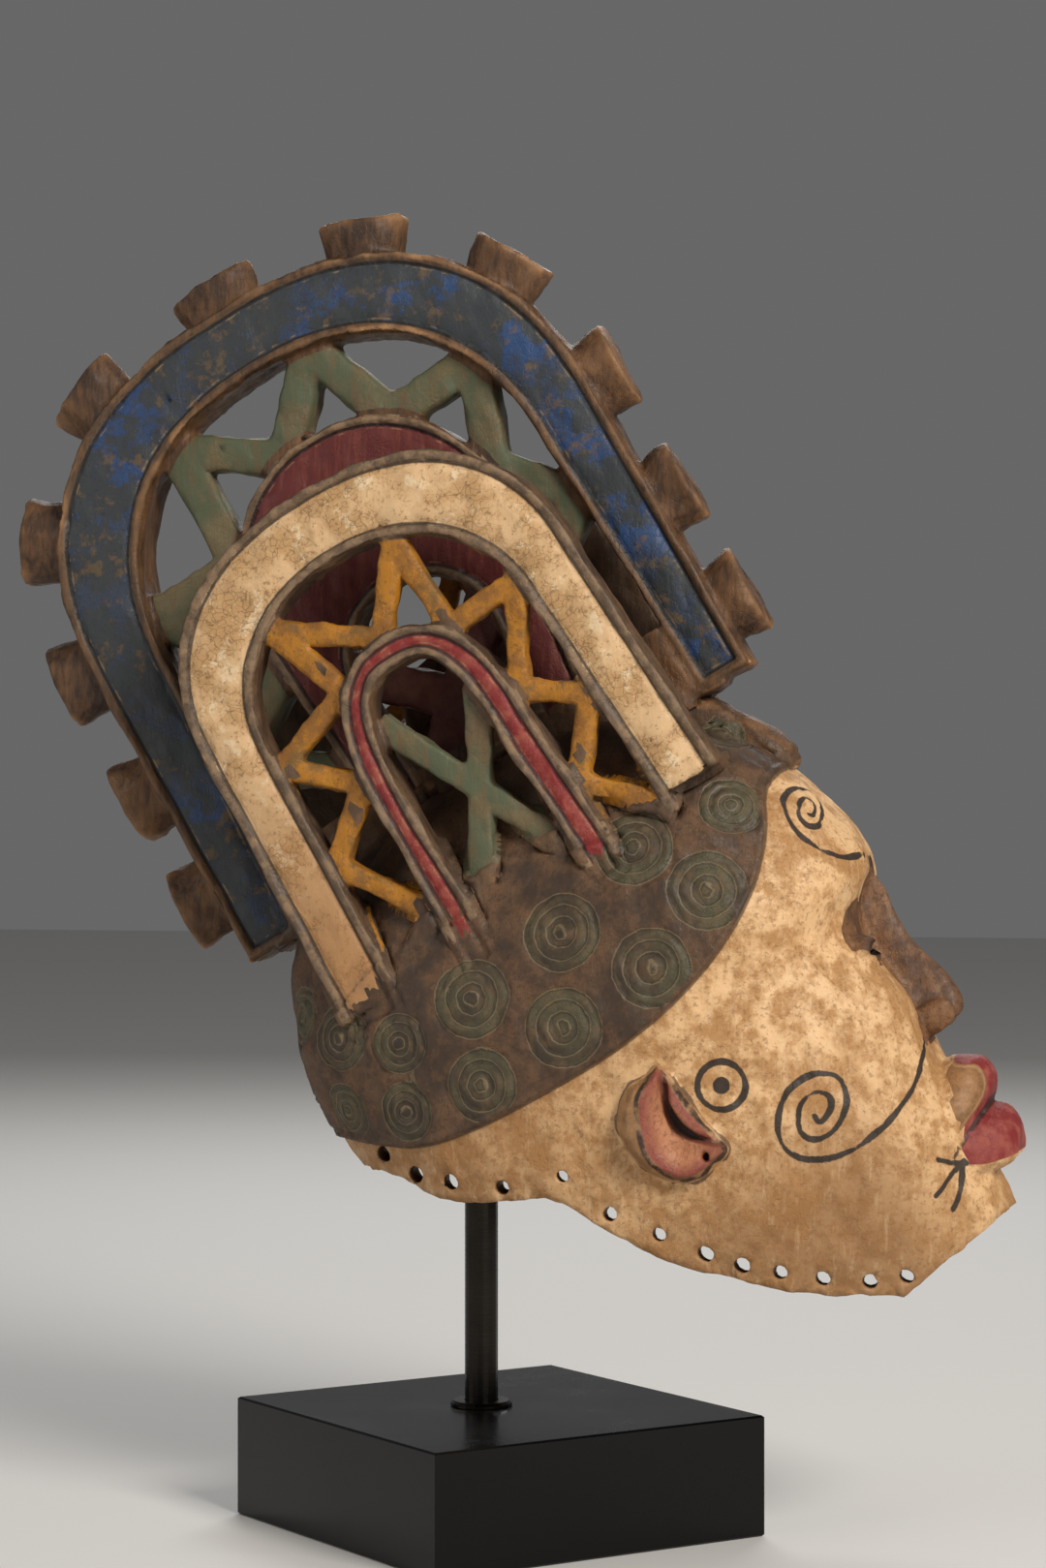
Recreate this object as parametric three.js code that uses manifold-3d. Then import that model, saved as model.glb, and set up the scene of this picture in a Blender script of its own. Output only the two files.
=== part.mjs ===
// A painted wooden helmet mask with an openwork crest, leaning back on a steel rod in a black plinth.
//
// Millimetres, +Z up, origin on the underside of the plinth, at its middle. The mask looks
// towards +X, its plane of symmetry is Y = 0, and the right side of the face is at -Y.
// The mask is carved from one log: a hollow head, a thick crest panel along the middle with
// eleven knobs, and a thinner crest panel on each side. It is modelled upright in a frame of
// its own, x forward, z up from the chin, and the whole carving is then leaned back.

import * as THREE from 'three';
import { mergeVertices } from 'three/addons/utils/BufferGeometryUtils.js';
import Module from 'manifold-3d';

const wasm = await Module();
wasm.setup();

const { clamp, degToRad, lerp } = THREE.MathUtils;

const GAP = 0.3;

const PLINTH_SIDE = 160;
const PLINTH_HEIGHT = 50;
const PLINTH_EDGE = 0.8;
const PLINTH_TURN = degToRad(45);

const ROD_RADIUS = 7;
const ROD_X = -6.7;
const DISC_RADIUS = 13;
const DISC_HEIGHT = 2.2;
const DISC_EDGE = 1.2;
const ROUND_SIDES = 20;

// Where the upright frame of the carving stands, and how far it leans back.
const MASK_LEAN = degToRad(30);
const MASK_X = 130;
const MASK_Z = 75;

const WALL = 11;
// How far the roof of the hollow falls within the width of the rod.
const ROOF_FALL = 1;
const CAP_RISE = 2.5;
const HEAD_TOP = 277;
const HEAD_BOTTOM = -8;
const HEAD_MESH = [36, 24];
const HOLLOW_MESH = [24, 14];
// Rows of the head lie closer together near its top.
const ROW_CROWDING = 1.35;

// Level sections of the head: height, back, front, half width, squareness of the oval.
const HEAD_SECTIONS = [
  [-8, -70, 100, 40, 2.3],
  [8, -80, 106, 47, 2.4],
  [30, -92, 108.5, 58, 2.5],
  [60, -104, 110, 70, 2.6],
  [90, -112, 111, 76, 2.7],
  [120, -117, 111, 78, 2.7],
  [148, -119, 112.5, 78, 2.7],
  [160, -120.5, 124.5, 77, 2.7],
  [180, -122, 126, 74, 2.8],
  [205, -119.5, 119, 67, 3.2],
  [225, -113, 109.5, 58, 3.1],
  [245, -104, 95, 47, 2.8],
  [262, -88, 76, 35, 2.5],
  [272, -58, 48, 22, 2.2],
];
const CHEEK = { y: 34, z: 108, reach: 19, rise: 5 };

// The open lower edge of the helmet, seen from the side, from the chin to the back.
const RIM_FRONT = [[55, 5], [30, 20.5], [5, 41.5], [-18, 66], [-40, 102.5]];
const RIM_BACK = [[-46, 108.5], [-66, 117], [-86, 129], [-101, 147], [-125, 162]];
const RIM_STEPS = 10;
const CHIN_CUT = [150, 20.4];
const BELOW_RIM = [[-170, 168], [-170, -60], [150, -60]];
const RIM_HOLES = [
  [-101, 156.5], [-91.5, 142.5], [-78, 133], [-59.5, 121], [-35, 113], [-26, 90.5],
  [-13, 74], [-1.5, 58.5], [8.5, 47.5], [19.5, 37.5], [32.5, 27], [47, 16.5], [60.5, 11],
];
const RIM_HOLE_RADIUS = 3;

// The lower border of the carved cap, seen from the side.
const CAP_BORDER = [
  [126, 216], [109, 209], [101.5, 193], [88, 176], [68, 162], [41, 151.5], [11, 146],
  [-26, 145], [-61, 147], [-82, 151.5], [-99, 160.5], [-115, 171], [-131, 179],
];
const ABOVE_CAP = [[-131, 300], [126, 300]];
const CAP_STEPS = 20;

// Cutters that cross the whole head reach this far to each side.
const ACROSS = 120;

// The braid that runs down the middle of the cap and ends over the forehead.
const BRAID = [
  [84, 262], [97, 256], [107, 243], [118.5, 224.5], [120.3, 218], [118, 213.5], [100, 213],
];
const BRAID_WIDTH = 20;

const NOSE = [
  [108, 162], [124.5, 164], [125.6, 152], [124.2, 140], [124.6, 128], [128.5, 114], [131.4, 101],
  [130.4, 93.5], [126, 90.3], [112, 88.2], [100, 88], [100, 120],
];
const NOSE_BRIDGE = { z: 150, width: 11 };
const NOSE_BASE = { z: 88.2, width: 29 };
const NOSE_RIDGE = { x: 122, narrowing: 0.5 };

const UPPER_LIP = [
  [100, 79], [111, 77.3], [119, 76], [125, 72.5], [127.4, 66], [125.8, 60], [121, 54.5], [96, 41],
];
const LOWER_LIP = [
  [96, 42], [119, 53.5], [124, 50], [125.6, 44], [124.6, 36.5], [121, 31], [112, 29.6], [96, 36],
];
const LIP_FRONT = { x: 127, width: 22 };
const LIP_BACK = { x: 100, width: 66 };

const EYE = { x: 112, y: 31, z: 131, depth: 40, width: 27, height: 6.5, turn: 0.12 };
const SOCKET = { x: 124, y: 31, z: 137, depth: 15, width: 25, height: 16 };

const EAR = { x: 12, y: 77, z: 108, length: 54, width: 33, out: 12, turn: -0.62 };
const EAR_HOLLOW = { x: 15, y: 89, length: 42, width: 23, depth: 8 };

// Openings and bands of the crest share one outline: two legs and a rounded head.
// half is half the width at the spring, feet are the ends of the back and the front leg,
// flare spreads the feet and drift carries them both forward. A band's foot is the height of
// the end moulding of its legs; a negative one lets the painted face run out at the end.
const CENTRE = {
  thickness: 30, border: 4, recess: 1.6, foot: 4,
  outer: { cx: 1.5, half: 123.5, spring: 388, top: 502, power: 2.4, flare: 0, drift: 0, feet: [256, 258] },
  inner: { cx: 3, half: 93, spring: 378, top: 470.5, power: 2.3, flare: 5, drift: 0, feet: [290, 290] },
};
const SILL = [[-110, 256], [112, 256], [112, 291], [-110, 291]];
const SILL_THICKNESS = 26;
const RED = {
  thickness: 25, border: 3.5, recess: 1.5, foot: 4,
  outer: { cx: 10, half: 62, spring: 374, top: 436, power: 2, flare: -12, drift: -2, feet: [262, 262] },
  inner: { cx: 9, half: 32, spring: 334, top: 363, power: 2, flare: -5, drift: 0, feet: [284, 284] },
};
const SIDE = {
  faceY: 62, thickness: 16, border: 4.2, recess: 1.5, foot: -1,
  outer: { cx: 3.7, half: 89, spring: 331, top: 407.5, power: 2.29, flare: 4.5, drift: 2.6, feet: [210, 226] },
  inner: { cx: 3.4, half: 61.5, spring: 320, top: 375.4, power: 2.12, flare: 4.3, drift: 2.8, feet: [210, 219] },
};
const SMALL = {
  faceY: 64.5, thickness: 20, border: 3.6, recess: 1.5, foot: -1,
  outer: { cx: 5.6, half: 37.3, spring: 283.5, top: 338.4, power: 2.38, flare: 2.6, drift: 3.3, feet: [206, 214] },
  inner: { cx: 4.9, half: 22.9, spring: 270.5, top: 325.1, power: 2.9, flare: 0.9, drift: 4.3, feet: [206, 214] },
};
const ARCH_STEPS = 18;

// The corners of a zigzag lie on two arches in turn, at shares of the length of each.
const GREEN = {
  width: 15, thickness: 19, y: 0, startsOn: 'inner',
  corners: [0.105, 0.087, 0.225, 0.243, 0.345, 0.398, 0.465, 0.553, 0.585, 0.708, 0.705, 0.863, 0.825],
};
const YELLOW = {
  width: 9.5, thickness: 10, y: 55, startsOn: 'outer',
  corners: [
    0.005, 0.08, 0.145, 0.284, 0.262, 0.416, 0.41, 0.508, 0.575, 0.609, 0.718, 0.738, 0.858, 0.887, 0.995,
  ],
};
const SIDE_CROSS = {
  width: 9.5, thickness: 9, y: 54, bars: [[[-13, 305], [35, 217]], [[27, 298], [-15, 222]]],
};
const CENTRE_CROSS = {
  width: 17, thickness: 14, y: 0, bars: [[[-24, 340], [44, 276]], [[44, 340], [-24, 276]]],
};
// How far the ends of a strut run into the arches.
const STRUT_ROOT = 4;

// Knobs on the outer edge of the middle panel: steps along the edge from the one on top.
const KNOB_TOP = 3;
const KNOB_STEPS = [66, 60, 58, 57, 52];
const KNOB = {
  root: 17, rim: 20.5, frontHeight: 14.5, backHeight: 17.5, sink: 3, flatness: 0.68, sides: 10,
};

function solid(geometry) {
  geometry.deleteAttribute('normal');
  geometry.deleteAttribute('uv');
  const merged = mergeVertices(geometry, 1e-3);
  return new wasm.Manifold(new wasm.Mesh({
    numProp: 3,
    vertProperties: new Float32Array(merged.attributes.position.array),
    triVerts: new Uint32Array(merged.index.array),
  }));
}

function geometryOf(manifold) {
  const mesh = manifold.getMesh();
  const geometry = new THREE.BufferGeometry();
  geometry.setAttribute('position', new THREE.BufferAttribute(mesh.vertProperties, 3));
  geometry.setIndex(new THREE.BufferAttribute(mesh.triVerts, 1));
  geometry.computeVertexNormals();
  return geometry;
}

function joined(solids) {
  return solids.reduce((whole, next) => whole.add(next));
}

function mirrored(manifold) {
  return manifold.mirror([0, 1, 0]);
}

function vectors(points) {
  return points.map(([x, z]) => new THREE.Vector2(x, z));
}

// A side-view outline in x and z, made solid from one y to another.
function plate(outline, yLow, yHigh, hole = null) {
  const points = vectors(outline);
  if (THREE.ShapeUtils.isClockWise(points)) points.reverse();
  const shape = new THREE.Shape(points);
  if (hole) shape.holes.push(new THREE.Path(vectors(hole)));
  const geometry = new THREE.ExtrudeGeometry(shape, { depth: yHigh - yLow, bevelEnabled: false });
  geometry.rotateX(Math.PI / 2);
  geometry.translate(0, yHigh, 0);
  return solid(geometry);
}

// A side-view outline made solid about the middle, as wide at each point as width says.
function tapered(outline, width) {
  const shape = new THREE.Shape(vectors(outline));
  const geometry = new THREE.ExtrudeGeometry(shape, { depth: 2, bevelEnabled: false });
  geometry.rotateX(Math.PI / 2);
  geometry.translate(0, 1, 0);
  const place = geometry.attributes.position;
  for (let i = 0; i < place.count; i++) {
    place.setY(i, place.getY(i) * width(place.getX(i), place.getZ(i)) / 2);
  }
  return solid(geometry);
}

function ellipsoid(size, place, turn = 0, columns = 12, rows = 7) {
  const geometry = new THREE.SphereGeometry(1, columns, rows);
  geometry.scale(...size);
  geometry.rotateY(turn);
  geometry.translate(...place);
  return solid(geometry);
}

function smooth(points, divisions) {
  const curve = new THREE.SplineCurve(vectors(points));
  return curve.getSpacedPoints(divisions).map((point) => [point.x, point.y]);
}

const sectionAt = new THREE.CubicInterpolant(
  HEAD_SECTIONS.map((row) => row[0]), HEAD_SECTIONS.flatMap((row) => row.slice(1)), 4);

function cheekRise(y, z) {
  const far = Math.hypot(Math.abs(y) - CHEEK.y, z - CHEEK.z) / CHEEK.reach;
  return CHEEK.rise * Math.exp(-far * far);
}

// One point of the head, offset outwards, at a height and an angle around from the front.
function headPoint(offset, level, around, atPole) {
  const top = HEAD_TOP + offset;
  const last = HEAD_SECTIONS.at(-1)[0];
  const [back, front, half, power] = sectionAt.evaluate(Math.min(level, last));
  const closing = level > last ? Math.sqrt(Math.max(0, (top - level) / (top - last))) : 1;
  const scale = atPole ? 0 : closing;
  const middle = (front + back) / 2;
  const reach = (front - back) / 2 + offset;
  const cos = Math.cos(around);
  const sin = Math.sin(around);
  const x = middle + scale * reach * Math.sign(cos) * Math.pow(Math.abs(cos), 2 / power);
  const y = scale * (half + offset) * Math.sign(sin) * Math.pow(Math.abs(sin), 2 / power);
  return [x > middle ? x + cheekRise(y, level) : x, y, level];
}

// The carved surface of the head, or one a given distance inside or outside it.
function headLoft(offset, columns, rows) {
  const geometry = new THREE.SphereGeometry(1, columns, rows);
  const place = geometry.attributes.position;
  for (let i = 0; i < place.count; i++) {
    const row = Math.round(rows * Math.acos(clamp(place.getY(i), -1, 1)) / Math.PI);
    const around = Math.atan2(-place.getZ(i), place.getX(i));
    const level = lerp(HEAD_TOP + offset, HEAD_BOTTOM, Math.pow(row / rows, ROW_CROWDING));
    const atPole = row === 0 || row === rows;
    place.setXYZ(i, ...headPoint(offset, level, around, atPole));
  }
  return solid(geometry);
}

// One arch outline from the back foot over the head to the front foot.
function archLine(arch, inset = 0, steps = ARCH_STEPS) {
  const half = arch.half - inset;
  const rise = arch.top - inset - arch.spring;
  const line = [[arch.cx - half - arch.flare + arch.drift, arch.feet[0]]];
  for (let i = 0; i <= steps; i++) {
    const angle = Math.PI * (1 - i / steps);
    const across = Math.sign(Math.cos(angle)) * Math.pow(Math.abs(Math.cos(angle)), 2 / arch.power);
    const up = Math.pow(Math.abs(Math.sin(angle)), 2 / arch.power);
    line.push([arch.cx + half * across, arch.spring + rise * up]);
  }
  line.push([arch.cx + half + arch.flare + arch.drift, arch.feet[1]]);
  return line;
}

function curveOf(line) {
  const path = new THREE.CurvePath();
  for (let i = 1; i < line.length; i++) {
    path.add(new THREE.LineCurve(new THREE.Vector2(...line[i - 1]), new THREE.Vector2(...line[i])));
  }
  return path;
}

// The sunk face of a band, between its two borders and above the end mouldings.
function faceOutline(band) {
  const feet = band.outer.feet.map((z) => z + band.foot);
  const outer = archLine({ ...band.outer, feet }, band.border);
  const inner = archLine({ ...band.inner, feet }, -band.border);
  return [...outer, ...inner.reverse()];
}

// A band between two arches. Its painted face is sunk on the near side, or on both sides.
function archBand(band, yNear, yFar, bothSides) {
  const hole = archLine(band.inner);
  const whole = bothSides
    ? plate(archLine(band.outer), yNear, yFar, hole)
    : plate([...archLine(band.outer), ...hole.reverse()], yNear, yFar);
  const face = faceOutline(band);
  const cuts = [plate(face, yNear - 1, yNear + band.recess)];
  if (bothSides) cuts.push(plate(face, yFar - band.recess, yFar + 1));
  return whole.subtract(joined(cuts));
}

function strutBetween([ax, az], [bx, bz], strut) {
  const length = Math.hypot(bx - ax, bz - az) + 2 * STRUT_ROOT;
  const geometry = new THREE.BoxGeometry(length, strut.thickness, strut.width);
  geometry.rotateY(-Math.atan2(bz - az, bx - ax));
  geometry.translate((ax + bx) / 2, strut.y, (az + bz) / 2);
  return solid(geometry);
}

function zigzag(strut, outer, inner) {
  const curves = [curveOf(archLine(outer)), curveOf(archLine(inner))];
  const first = strut.startsOn === 'outer' ? 0 : 1;
  const corners = strut.corners.map((share, i) => curves[(i + first) % 2].getPointAt(share).toArray());
  return joined(corners.slice(1).map((corner, i) => strutBetween(corners[i], corner, strut)));
}

function cross(strut) {
  return joined(strut.bars.map(([from, to]) => strutBetween(from, to, strut)));
}

function knob(point, tangent, height) {
  const outward = Math.atan2(tangent.x, -tangent.y);
  const geometry = new THREE.CylinderGeometry(KNOB.rim, KNOB.root, height + KNOB.sink, KNOB.sides);
  geometry.scale(1, 1, KNOB.flatness);
  geometry.translate(0, (height - KNOB.sink) / 2, 0);
  geometry.rotateX(Math.PI / 2);
  geometry.rotateY(Math.PI / 2 - outward);
  geometry.translate(point.x, 0, point.y);
  return solid(geometry);
}

function knobs() {
  const edge = curveOf(archLine(CENTRE.outer, 0, 60));
  const length = edge.getLength();
  const places = [0];
  let along = 0;
  for (const step of KNOB_STEPS) {
    along += step;
    places.push(along, -along);
  }
  const made = places.map((place) => {
    const share = 0.5 + (place + KNOB_TOP) / length;
    const height = place < 0 ? KNOB.backHeight : KNOB.frontHeight;
    return knob(edge.getPointAt(share), edge.getTangentAt(share), height);
  });
  return joined(made);
}

function centrePanel() {
  const blueY = CENTRE.thickness / 2;
  const redY = RED.thickness / 2;
  return joined([
    archBand(CENTRE, -blueY, blueY, true),
    plate(SILL, -SILL_THICKNESS / 2, SILL_THICKNESS / 2),
    archBand(RED, -redY, redY, true),
    zigzag(GREEN, CENTRE.inner, RED.outer),
    cross(CENTRE_CROSS),
    knobs(),
  ]);
}

// The panel on the right of the head; its outer face is at -Y.
function sidePanel() {
  const cream = archBand(SIDE, -SIDE.faceY, -SIDE.faceY + SIDE.thickness, false);
  const small = archBand(SMALL, -SMALL.faceY, -SMALL.faceY + SMALL.thickness, false);
  const yellow = zigzag({ ...YELLOW, y: -YELLOW.y }, SIDE.inner, SMALL.outer);
  return joined([cream, small, yellow, cross({ ...SIDE_CROSS, y: -SIDE_CROSS.y })]);
}

function rimCutter() {
  const edge = [...smooth(RIM_FRONT, RIM_STEPS), ...smooth(RIM_BACK, RIM_STEPS)];
  return plate([CHIN_CUT, ...edge, ...BELOW_RIM], -ACROSS, ACROSS);
}

function rimHoles() {
  const made = RIM_HOLES.map(([x, z]) => {
    const geometry = new THREE.CylinderGeometry(RIM_HOLE_RADIUS, RIM_HOLE_RADIUS, 2 * ACROSS, 6);
    geometry.translate(x, 0, z);
    return solid(geometry);
  });
  return joined(made);
}

function cap() {
  const area = plate([...smooth(CAP_BORDER, CAP_STEPS), ...ABOVE_CAP], -ACROSS, ACROSS);
  return headLoft(CAP_RISE, ...HEAD_MESH).intersect(area);
}

function nose() {
  return tapered(NOSE, (x, z) => {
    const low = clamp((NOSE_BRIDGE.z - z) / (NOSE_BRIDGE.z - NOSE_BASE.z), 0, 1);
    const width = lerp(NOSE_BRIDGE.width, NOSE_BASE.width, low * low);
    return x > NOSE_RIDGE.x ? width * NOSE_RIDGE.narrowing : width;
  });
}

function lip(outline) {
  return tapered(outline, (x) => {
    const along = clamp((x - LIP_BACK.x) / (LIP_FRONT.x - LIP_BACK.x), 0, 1);
    return lerp(LIP_BACK.width, LIP_FRONT.width, along * along);
  });
}

// The brow hollow that leaves the cheek and the nose standing, on the side given by its sign.
function socket(side) {
  return ellipsoid([SOCKET.depth, SOCKET.width, SOCKET.height], [SOCKET.x, side * SOCKET.y, SOCKET.z]);
}

function eyeSlit(side) {
  const geometry = new THREE.SphereGeometry(1, 10, 6);
  geometry.scale(EYE.depth, EYE.width / 2, EYE.height / 2);
  geometry.rotateX(-side * EYE.turn);
  geometry.translate(EYE.x, side * EYE.y, EYE.z);
  return solid(geometry);
}

function ear() {
  const shell = ellipsoid([EAR.width / 2, EAR.out, EAR.length / 2], [EAR.x, -EAR.y, EAR.z], EAR.turn);
  const hollow = ellipsoid(
    [EAR_HOLLOW.width / 2, EAR_HOLLOW.depth, EAR_HOLLOW.length / 2],
    [EAR_HOLLOW.x, -EAR_HOLLOW.y, EAR.z], EAR.turn);
  return shell.subtract(hollow);
}

function carving() {
  const face = headLoft(0, ...HEAD_MESH).subtract(socket(-1)).subtract(socket(1));
  const braid = plate(BRAID, -BRAID_WIDTH / 2, BRAID_WIDTH / 2);
  const features = [braid, nose(), lip(UPPER_LIP), lip(LOWER_LIP), centrePanel()];
  const side = sidePanel();
  const oneEar = ear();
  const pairs = [side, mirrored(side), oneEar, mirrored(oneEar)];
  return joined([face, cap(), ...features, ...pairs])
    .subtract(headLoft(-WALL, ...HOLLOW_MESH))
    .subtract(rimCutter())
    .subtract(joined([eyeSlit(-1), eyeSlit(1)]))
    .subtract(rimHoles());
}

function plinth() {
  const half = PLINTH_SIDE / 2 - PLINTH_EDGE;
  const square = new THREE.Shape(vectors([[-half, -half], [half, -half], [half, half], [-half, half]]));
  const geometry = new THREE.ExtrudeGeometry(square, {
    depth: PLINTH_HEIGHT - 2 * PLINTH_EDGE,
    bevelThickness: PLINTH_EDGE,
    bevelSize: PLINTH_EDGE,
    bevelSegments: 1,
  });
  geometry.translate(0, 0, PLINTH_EDGE);
  return geometry;
}

// The rod ends just under the roof of the hollow, which leans with the carving.
function rodTop() {
  const roof = HEAD_TOP - WALL - ROOF_FALL - GAP;
  const back = ROD_X - ROD_RADIUS - MASK_X;
  return MASK_Z + (roof + back * Math.sin(MASK_LEAN)) / Math.cos(MASK_LEAN);
}

function rod() {
  const foot = PLINTH_HEIGHT + GAP;
  const top = rodTop();
  const geometry = new THREE.CylinderGeometry(ROD_RADIUS, ROD_RADIUS, top - foot, ROUND_SIDES);
  geometry.rotateX(Math.PI / 2);
  geometry.translate(0, 0, (top + foot) / 2);
  return geometry;
}

function disc() {
  const low = PLINTH_HEIGHT + GAP;
  const high = low + DISC_HEIGHT;
  const bore = ROD_RADIUS + GAP;
  const profile = vectors([
    [bore, low], [DISC_RADIUS, low], [DISC_RADIUS, (low + high) / 2],
    [DISC_RADIUS - DISC_EDGE, high], [bore, high], [bore, low],
  ]);
  const geometry = new THREE.LatheGeometry(profile, ROUND_SIDES);
  geometry.rotateX(Math.PI / 2);
  return geometry;
}

function piece(name, geometry, color, roughness, metalness) {
  const mesh = new THREE.Mesh(geometry, new THREE.MeshStandardMaterial({ color, roughness, metalness }));
  mesh.name = name;
  return mesh;
}

const part = new THREE.Group();

const plinthMesh = piece('plinth', plinth(), 0x0b0b0c, 0.25, 0);
plinthMesh.rotation.z = PLINTH_TURN;

const rodMesh = piece('rod', rod(), 0x33322f, 0.3, 1);
const discMesh = piece('rod_foot_disc', disc(), 0x33322f, 0.35, 1);
rodMesh.position.x = ROD_X;
discMesh.position.x = ROD_X;

const leaning = new THREE.Group();
leaning.position.set(MASK_X, 0, MASK_Z);
leaning.rotation.y = -MASK_LEAN;
leaning.add(piece('mask', geometryOf(carving()), 0xb58f5a, 0.75, 0));

part.add(plinthMesh, rodMesh, discMesh, leaning);

export default part;
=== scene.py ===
# %% [markdown]
# # A painted helmet mask, leaning on its stand
#
# The object is a mask carved from one log of light wood: a hollow head with a long face, and
# above it a crest cut right through in arches, zigzags and crosses. It was painted by hand and
# is worn. It leans back on a steel rod in a black plinth.
#
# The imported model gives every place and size. This file replaces its faceted carving with a
# finer one of the same form, and gives every piece its finish.

# %% Load the frame
import math

import bpy
import numpy as np
from mathutils import Matrix, Vector


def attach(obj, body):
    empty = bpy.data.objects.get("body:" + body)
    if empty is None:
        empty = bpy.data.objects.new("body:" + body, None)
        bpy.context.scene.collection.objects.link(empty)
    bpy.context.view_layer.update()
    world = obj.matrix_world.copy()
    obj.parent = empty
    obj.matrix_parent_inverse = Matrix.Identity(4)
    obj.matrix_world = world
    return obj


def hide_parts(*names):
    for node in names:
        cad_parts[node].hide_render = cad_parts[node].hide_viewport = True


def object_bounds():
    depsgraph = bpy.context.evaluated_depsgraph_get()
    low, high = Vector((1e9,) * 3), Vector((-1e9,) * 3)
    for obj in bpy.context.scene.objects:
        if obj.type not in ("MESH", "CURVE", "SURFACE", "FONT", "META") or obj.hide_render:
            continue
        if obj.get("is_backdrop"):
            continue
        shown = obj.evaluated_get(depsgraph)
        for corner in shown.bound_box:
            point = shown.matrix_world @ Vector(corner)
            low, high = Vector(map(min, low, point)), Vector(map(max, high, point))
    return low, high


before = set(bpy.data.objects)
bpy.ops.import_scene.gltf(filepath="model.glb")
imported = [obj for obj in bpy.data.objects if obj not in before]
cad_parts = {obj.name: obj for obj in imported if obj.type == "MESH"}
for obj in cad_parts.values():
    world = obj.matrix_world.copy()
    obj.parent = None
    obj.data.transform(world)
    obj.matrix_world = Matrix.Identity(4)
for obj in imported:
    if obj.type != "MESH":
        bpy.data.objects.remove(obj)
cad_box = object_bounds()
print("frame box", cad_box)

# %% [markdown]
# ## The frame of the carving
#
# The carving was made upright and then leaned back by 30 degrees, so its shapes are easiest to
# give upright: x forward, y to the left side of the face, z up from the chin, in millimetres.
# Everything is built there, and one matrix leans it back and turns millimetres to metres.

# %% The upright frame
MM = 0.001
LEAN = math.radians(30)
UPRIGHT_TO_ROW = (
    Matrix.Scale(MM, 4)
    @ Matrix.Translation((130, 0, 75))
    @ Matrix.Rotation(-LEAN, 4, "Y")
)

WALL = 11
HEAD_TOP = 277
HEAD_BOTTOM = -8
CAP_RISE = 2.5

# Level sections of the head: height, back, front, half width, squareness of the oval.
HEAD_SECTIONS = np.array([
    (-8, -70, 100, 40, 2.3), (8, -80, 106, 47, 2.4), (30, -92, 108.5, 58, 2.5),
    (60, -104, 110, 70, 2.6), (90, -112, 111, 76, 2.7), (120, -117, 111, 78, 2.7),
    (148, -119, 112.5, 78, 2.7), (160, -120.5, 124.5, 77, 2.7), (180, -122, 126, 74, 2.8),
    (205, -119.5, 119, 67, 3.2), (225, -113, 109.5, 58, 3.1), (245, -104, 95, 47, 2.8),
    (262, -88, 76, 35, 2.5), (272, -58, 48, 22, 2.2),
])

print("upright frame leans", round(math.degrees(LEAN)), "degrees")

# %% [markdown]
# ## The head as a surface of levels
#
# A carver roughs a head out as an oval post and rounds it level by level. The surface here is
# made the same way: a squarish oval at each height, with its back, front, width and squareness
# eased from one height to the next. A function gives any point of it from an angle around
# (0 in front, 90 at the right side) and a height, so paint can be placed on it as well.

# %% Points on the head
def eased(knots, values, at):
    """Values at the knots, joined by curves whose slope at a knot is the mean of its two sides."""
    slopes = np.diff(values, axis=0) / np.diff(knots)[:, None]
    tangents = np.vstack([slopes[:1], (slopes[1:] + slopes[:-1]) / 2, slopes[-1:]])
    at = np.clip(at, knots[0], knots[-1])
    i = np.clip(np.searchsorted(knots, at, side="right") - 1, 0, len(knots) - 2)
    step = (knots[i + 1] - knots[i])[..., None]
    p = (at - knots[i])[..., None] / step
    return (
        (2 * p**3 - 3 * p**2 + 1) * values[i]
        + (p**3 - 2 * p**2 + p) * step * tangents[i]
        + (3 * p**2 - 2 * p**3) * values[i + 1]
        + (p**3 - p**2) * step * tangents[i + 1]
    )


def section_at(level):
    values = eased(HEAD_SECTIONS[:, 0], HEAD_SECTIONS[:, 1:], np.asarray(level, float))
    return np.moveaxis(values, -1, 0)


def on_head(around, level, offset=0.0, closing=1.0):
    """Points of the head for angles in degrees, positive towards its right side, and heights."""
    back, front, half, power = section_at(level)
    middle = (front + back) / 2
    reach = (front - back) / 2 + offset
    angle = np.radians(around)
    cos, sin = np.cos(angle), np.sin(angle)
    x = middle + closing * reach * np.sign(cos) * np.abs(cos) ** (2 / power)
    y = -closing * (half + offset) * np.sign(sin) * np.abs(sin) ** (2 / power)
    z = np.broadcast_to(level, x.shape)
    return np.stack([x, y, z], axis=-1)


def height_over_head(points):
    """How far points stand outside the head, about in millimetres, and negative inside it."""
    back, front, half, power = section_at(points[:, 2])
    middle = (front + back) / 2
    reach = (front - back) / 2
    across = np.abs((points[:, 0] - middle) / reach) ** power
    across += np.abs(points[:, 1] / half) ** power
    beside = (across ** (1 / power) - 1) * np.minimum(half, reach)
    return np.maximum(beside, points[:, 2] - HEAD_TOP)


print("ear level is at", np.round(on_head(85, 108), 1))

# %% [markdown]
# ## Closed solids from loops and outlines
#
# The carving is a union of closed solids: stacks of loops for rounded forms, and side-view
# outlines given a thickness for flat ones. Blender's mesh code needs only a few helpers for
# both. They are cut and joined afterwards, so they may run into each other.

# %% Helpers that make solids
def new_object(name, verts, faces):
    mesh = bpy.data.meshes.new(name)
    mesh.from_pydata([tuple(v) for v in np.asarray(verts, float)], [], faces)
    mesh.update()
    obj = bpy.data.objects.new(name, mesh)
    bpy.context.scene.collection.objects.link(obj)
    return obj


def coordinates(obj, what="co"):
    values = np.empty(len(obj.data.vertices) * 3)
    obj.data.vertices.foreach_get(what, values)
    return values.reshape(-1, 3)


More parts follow.
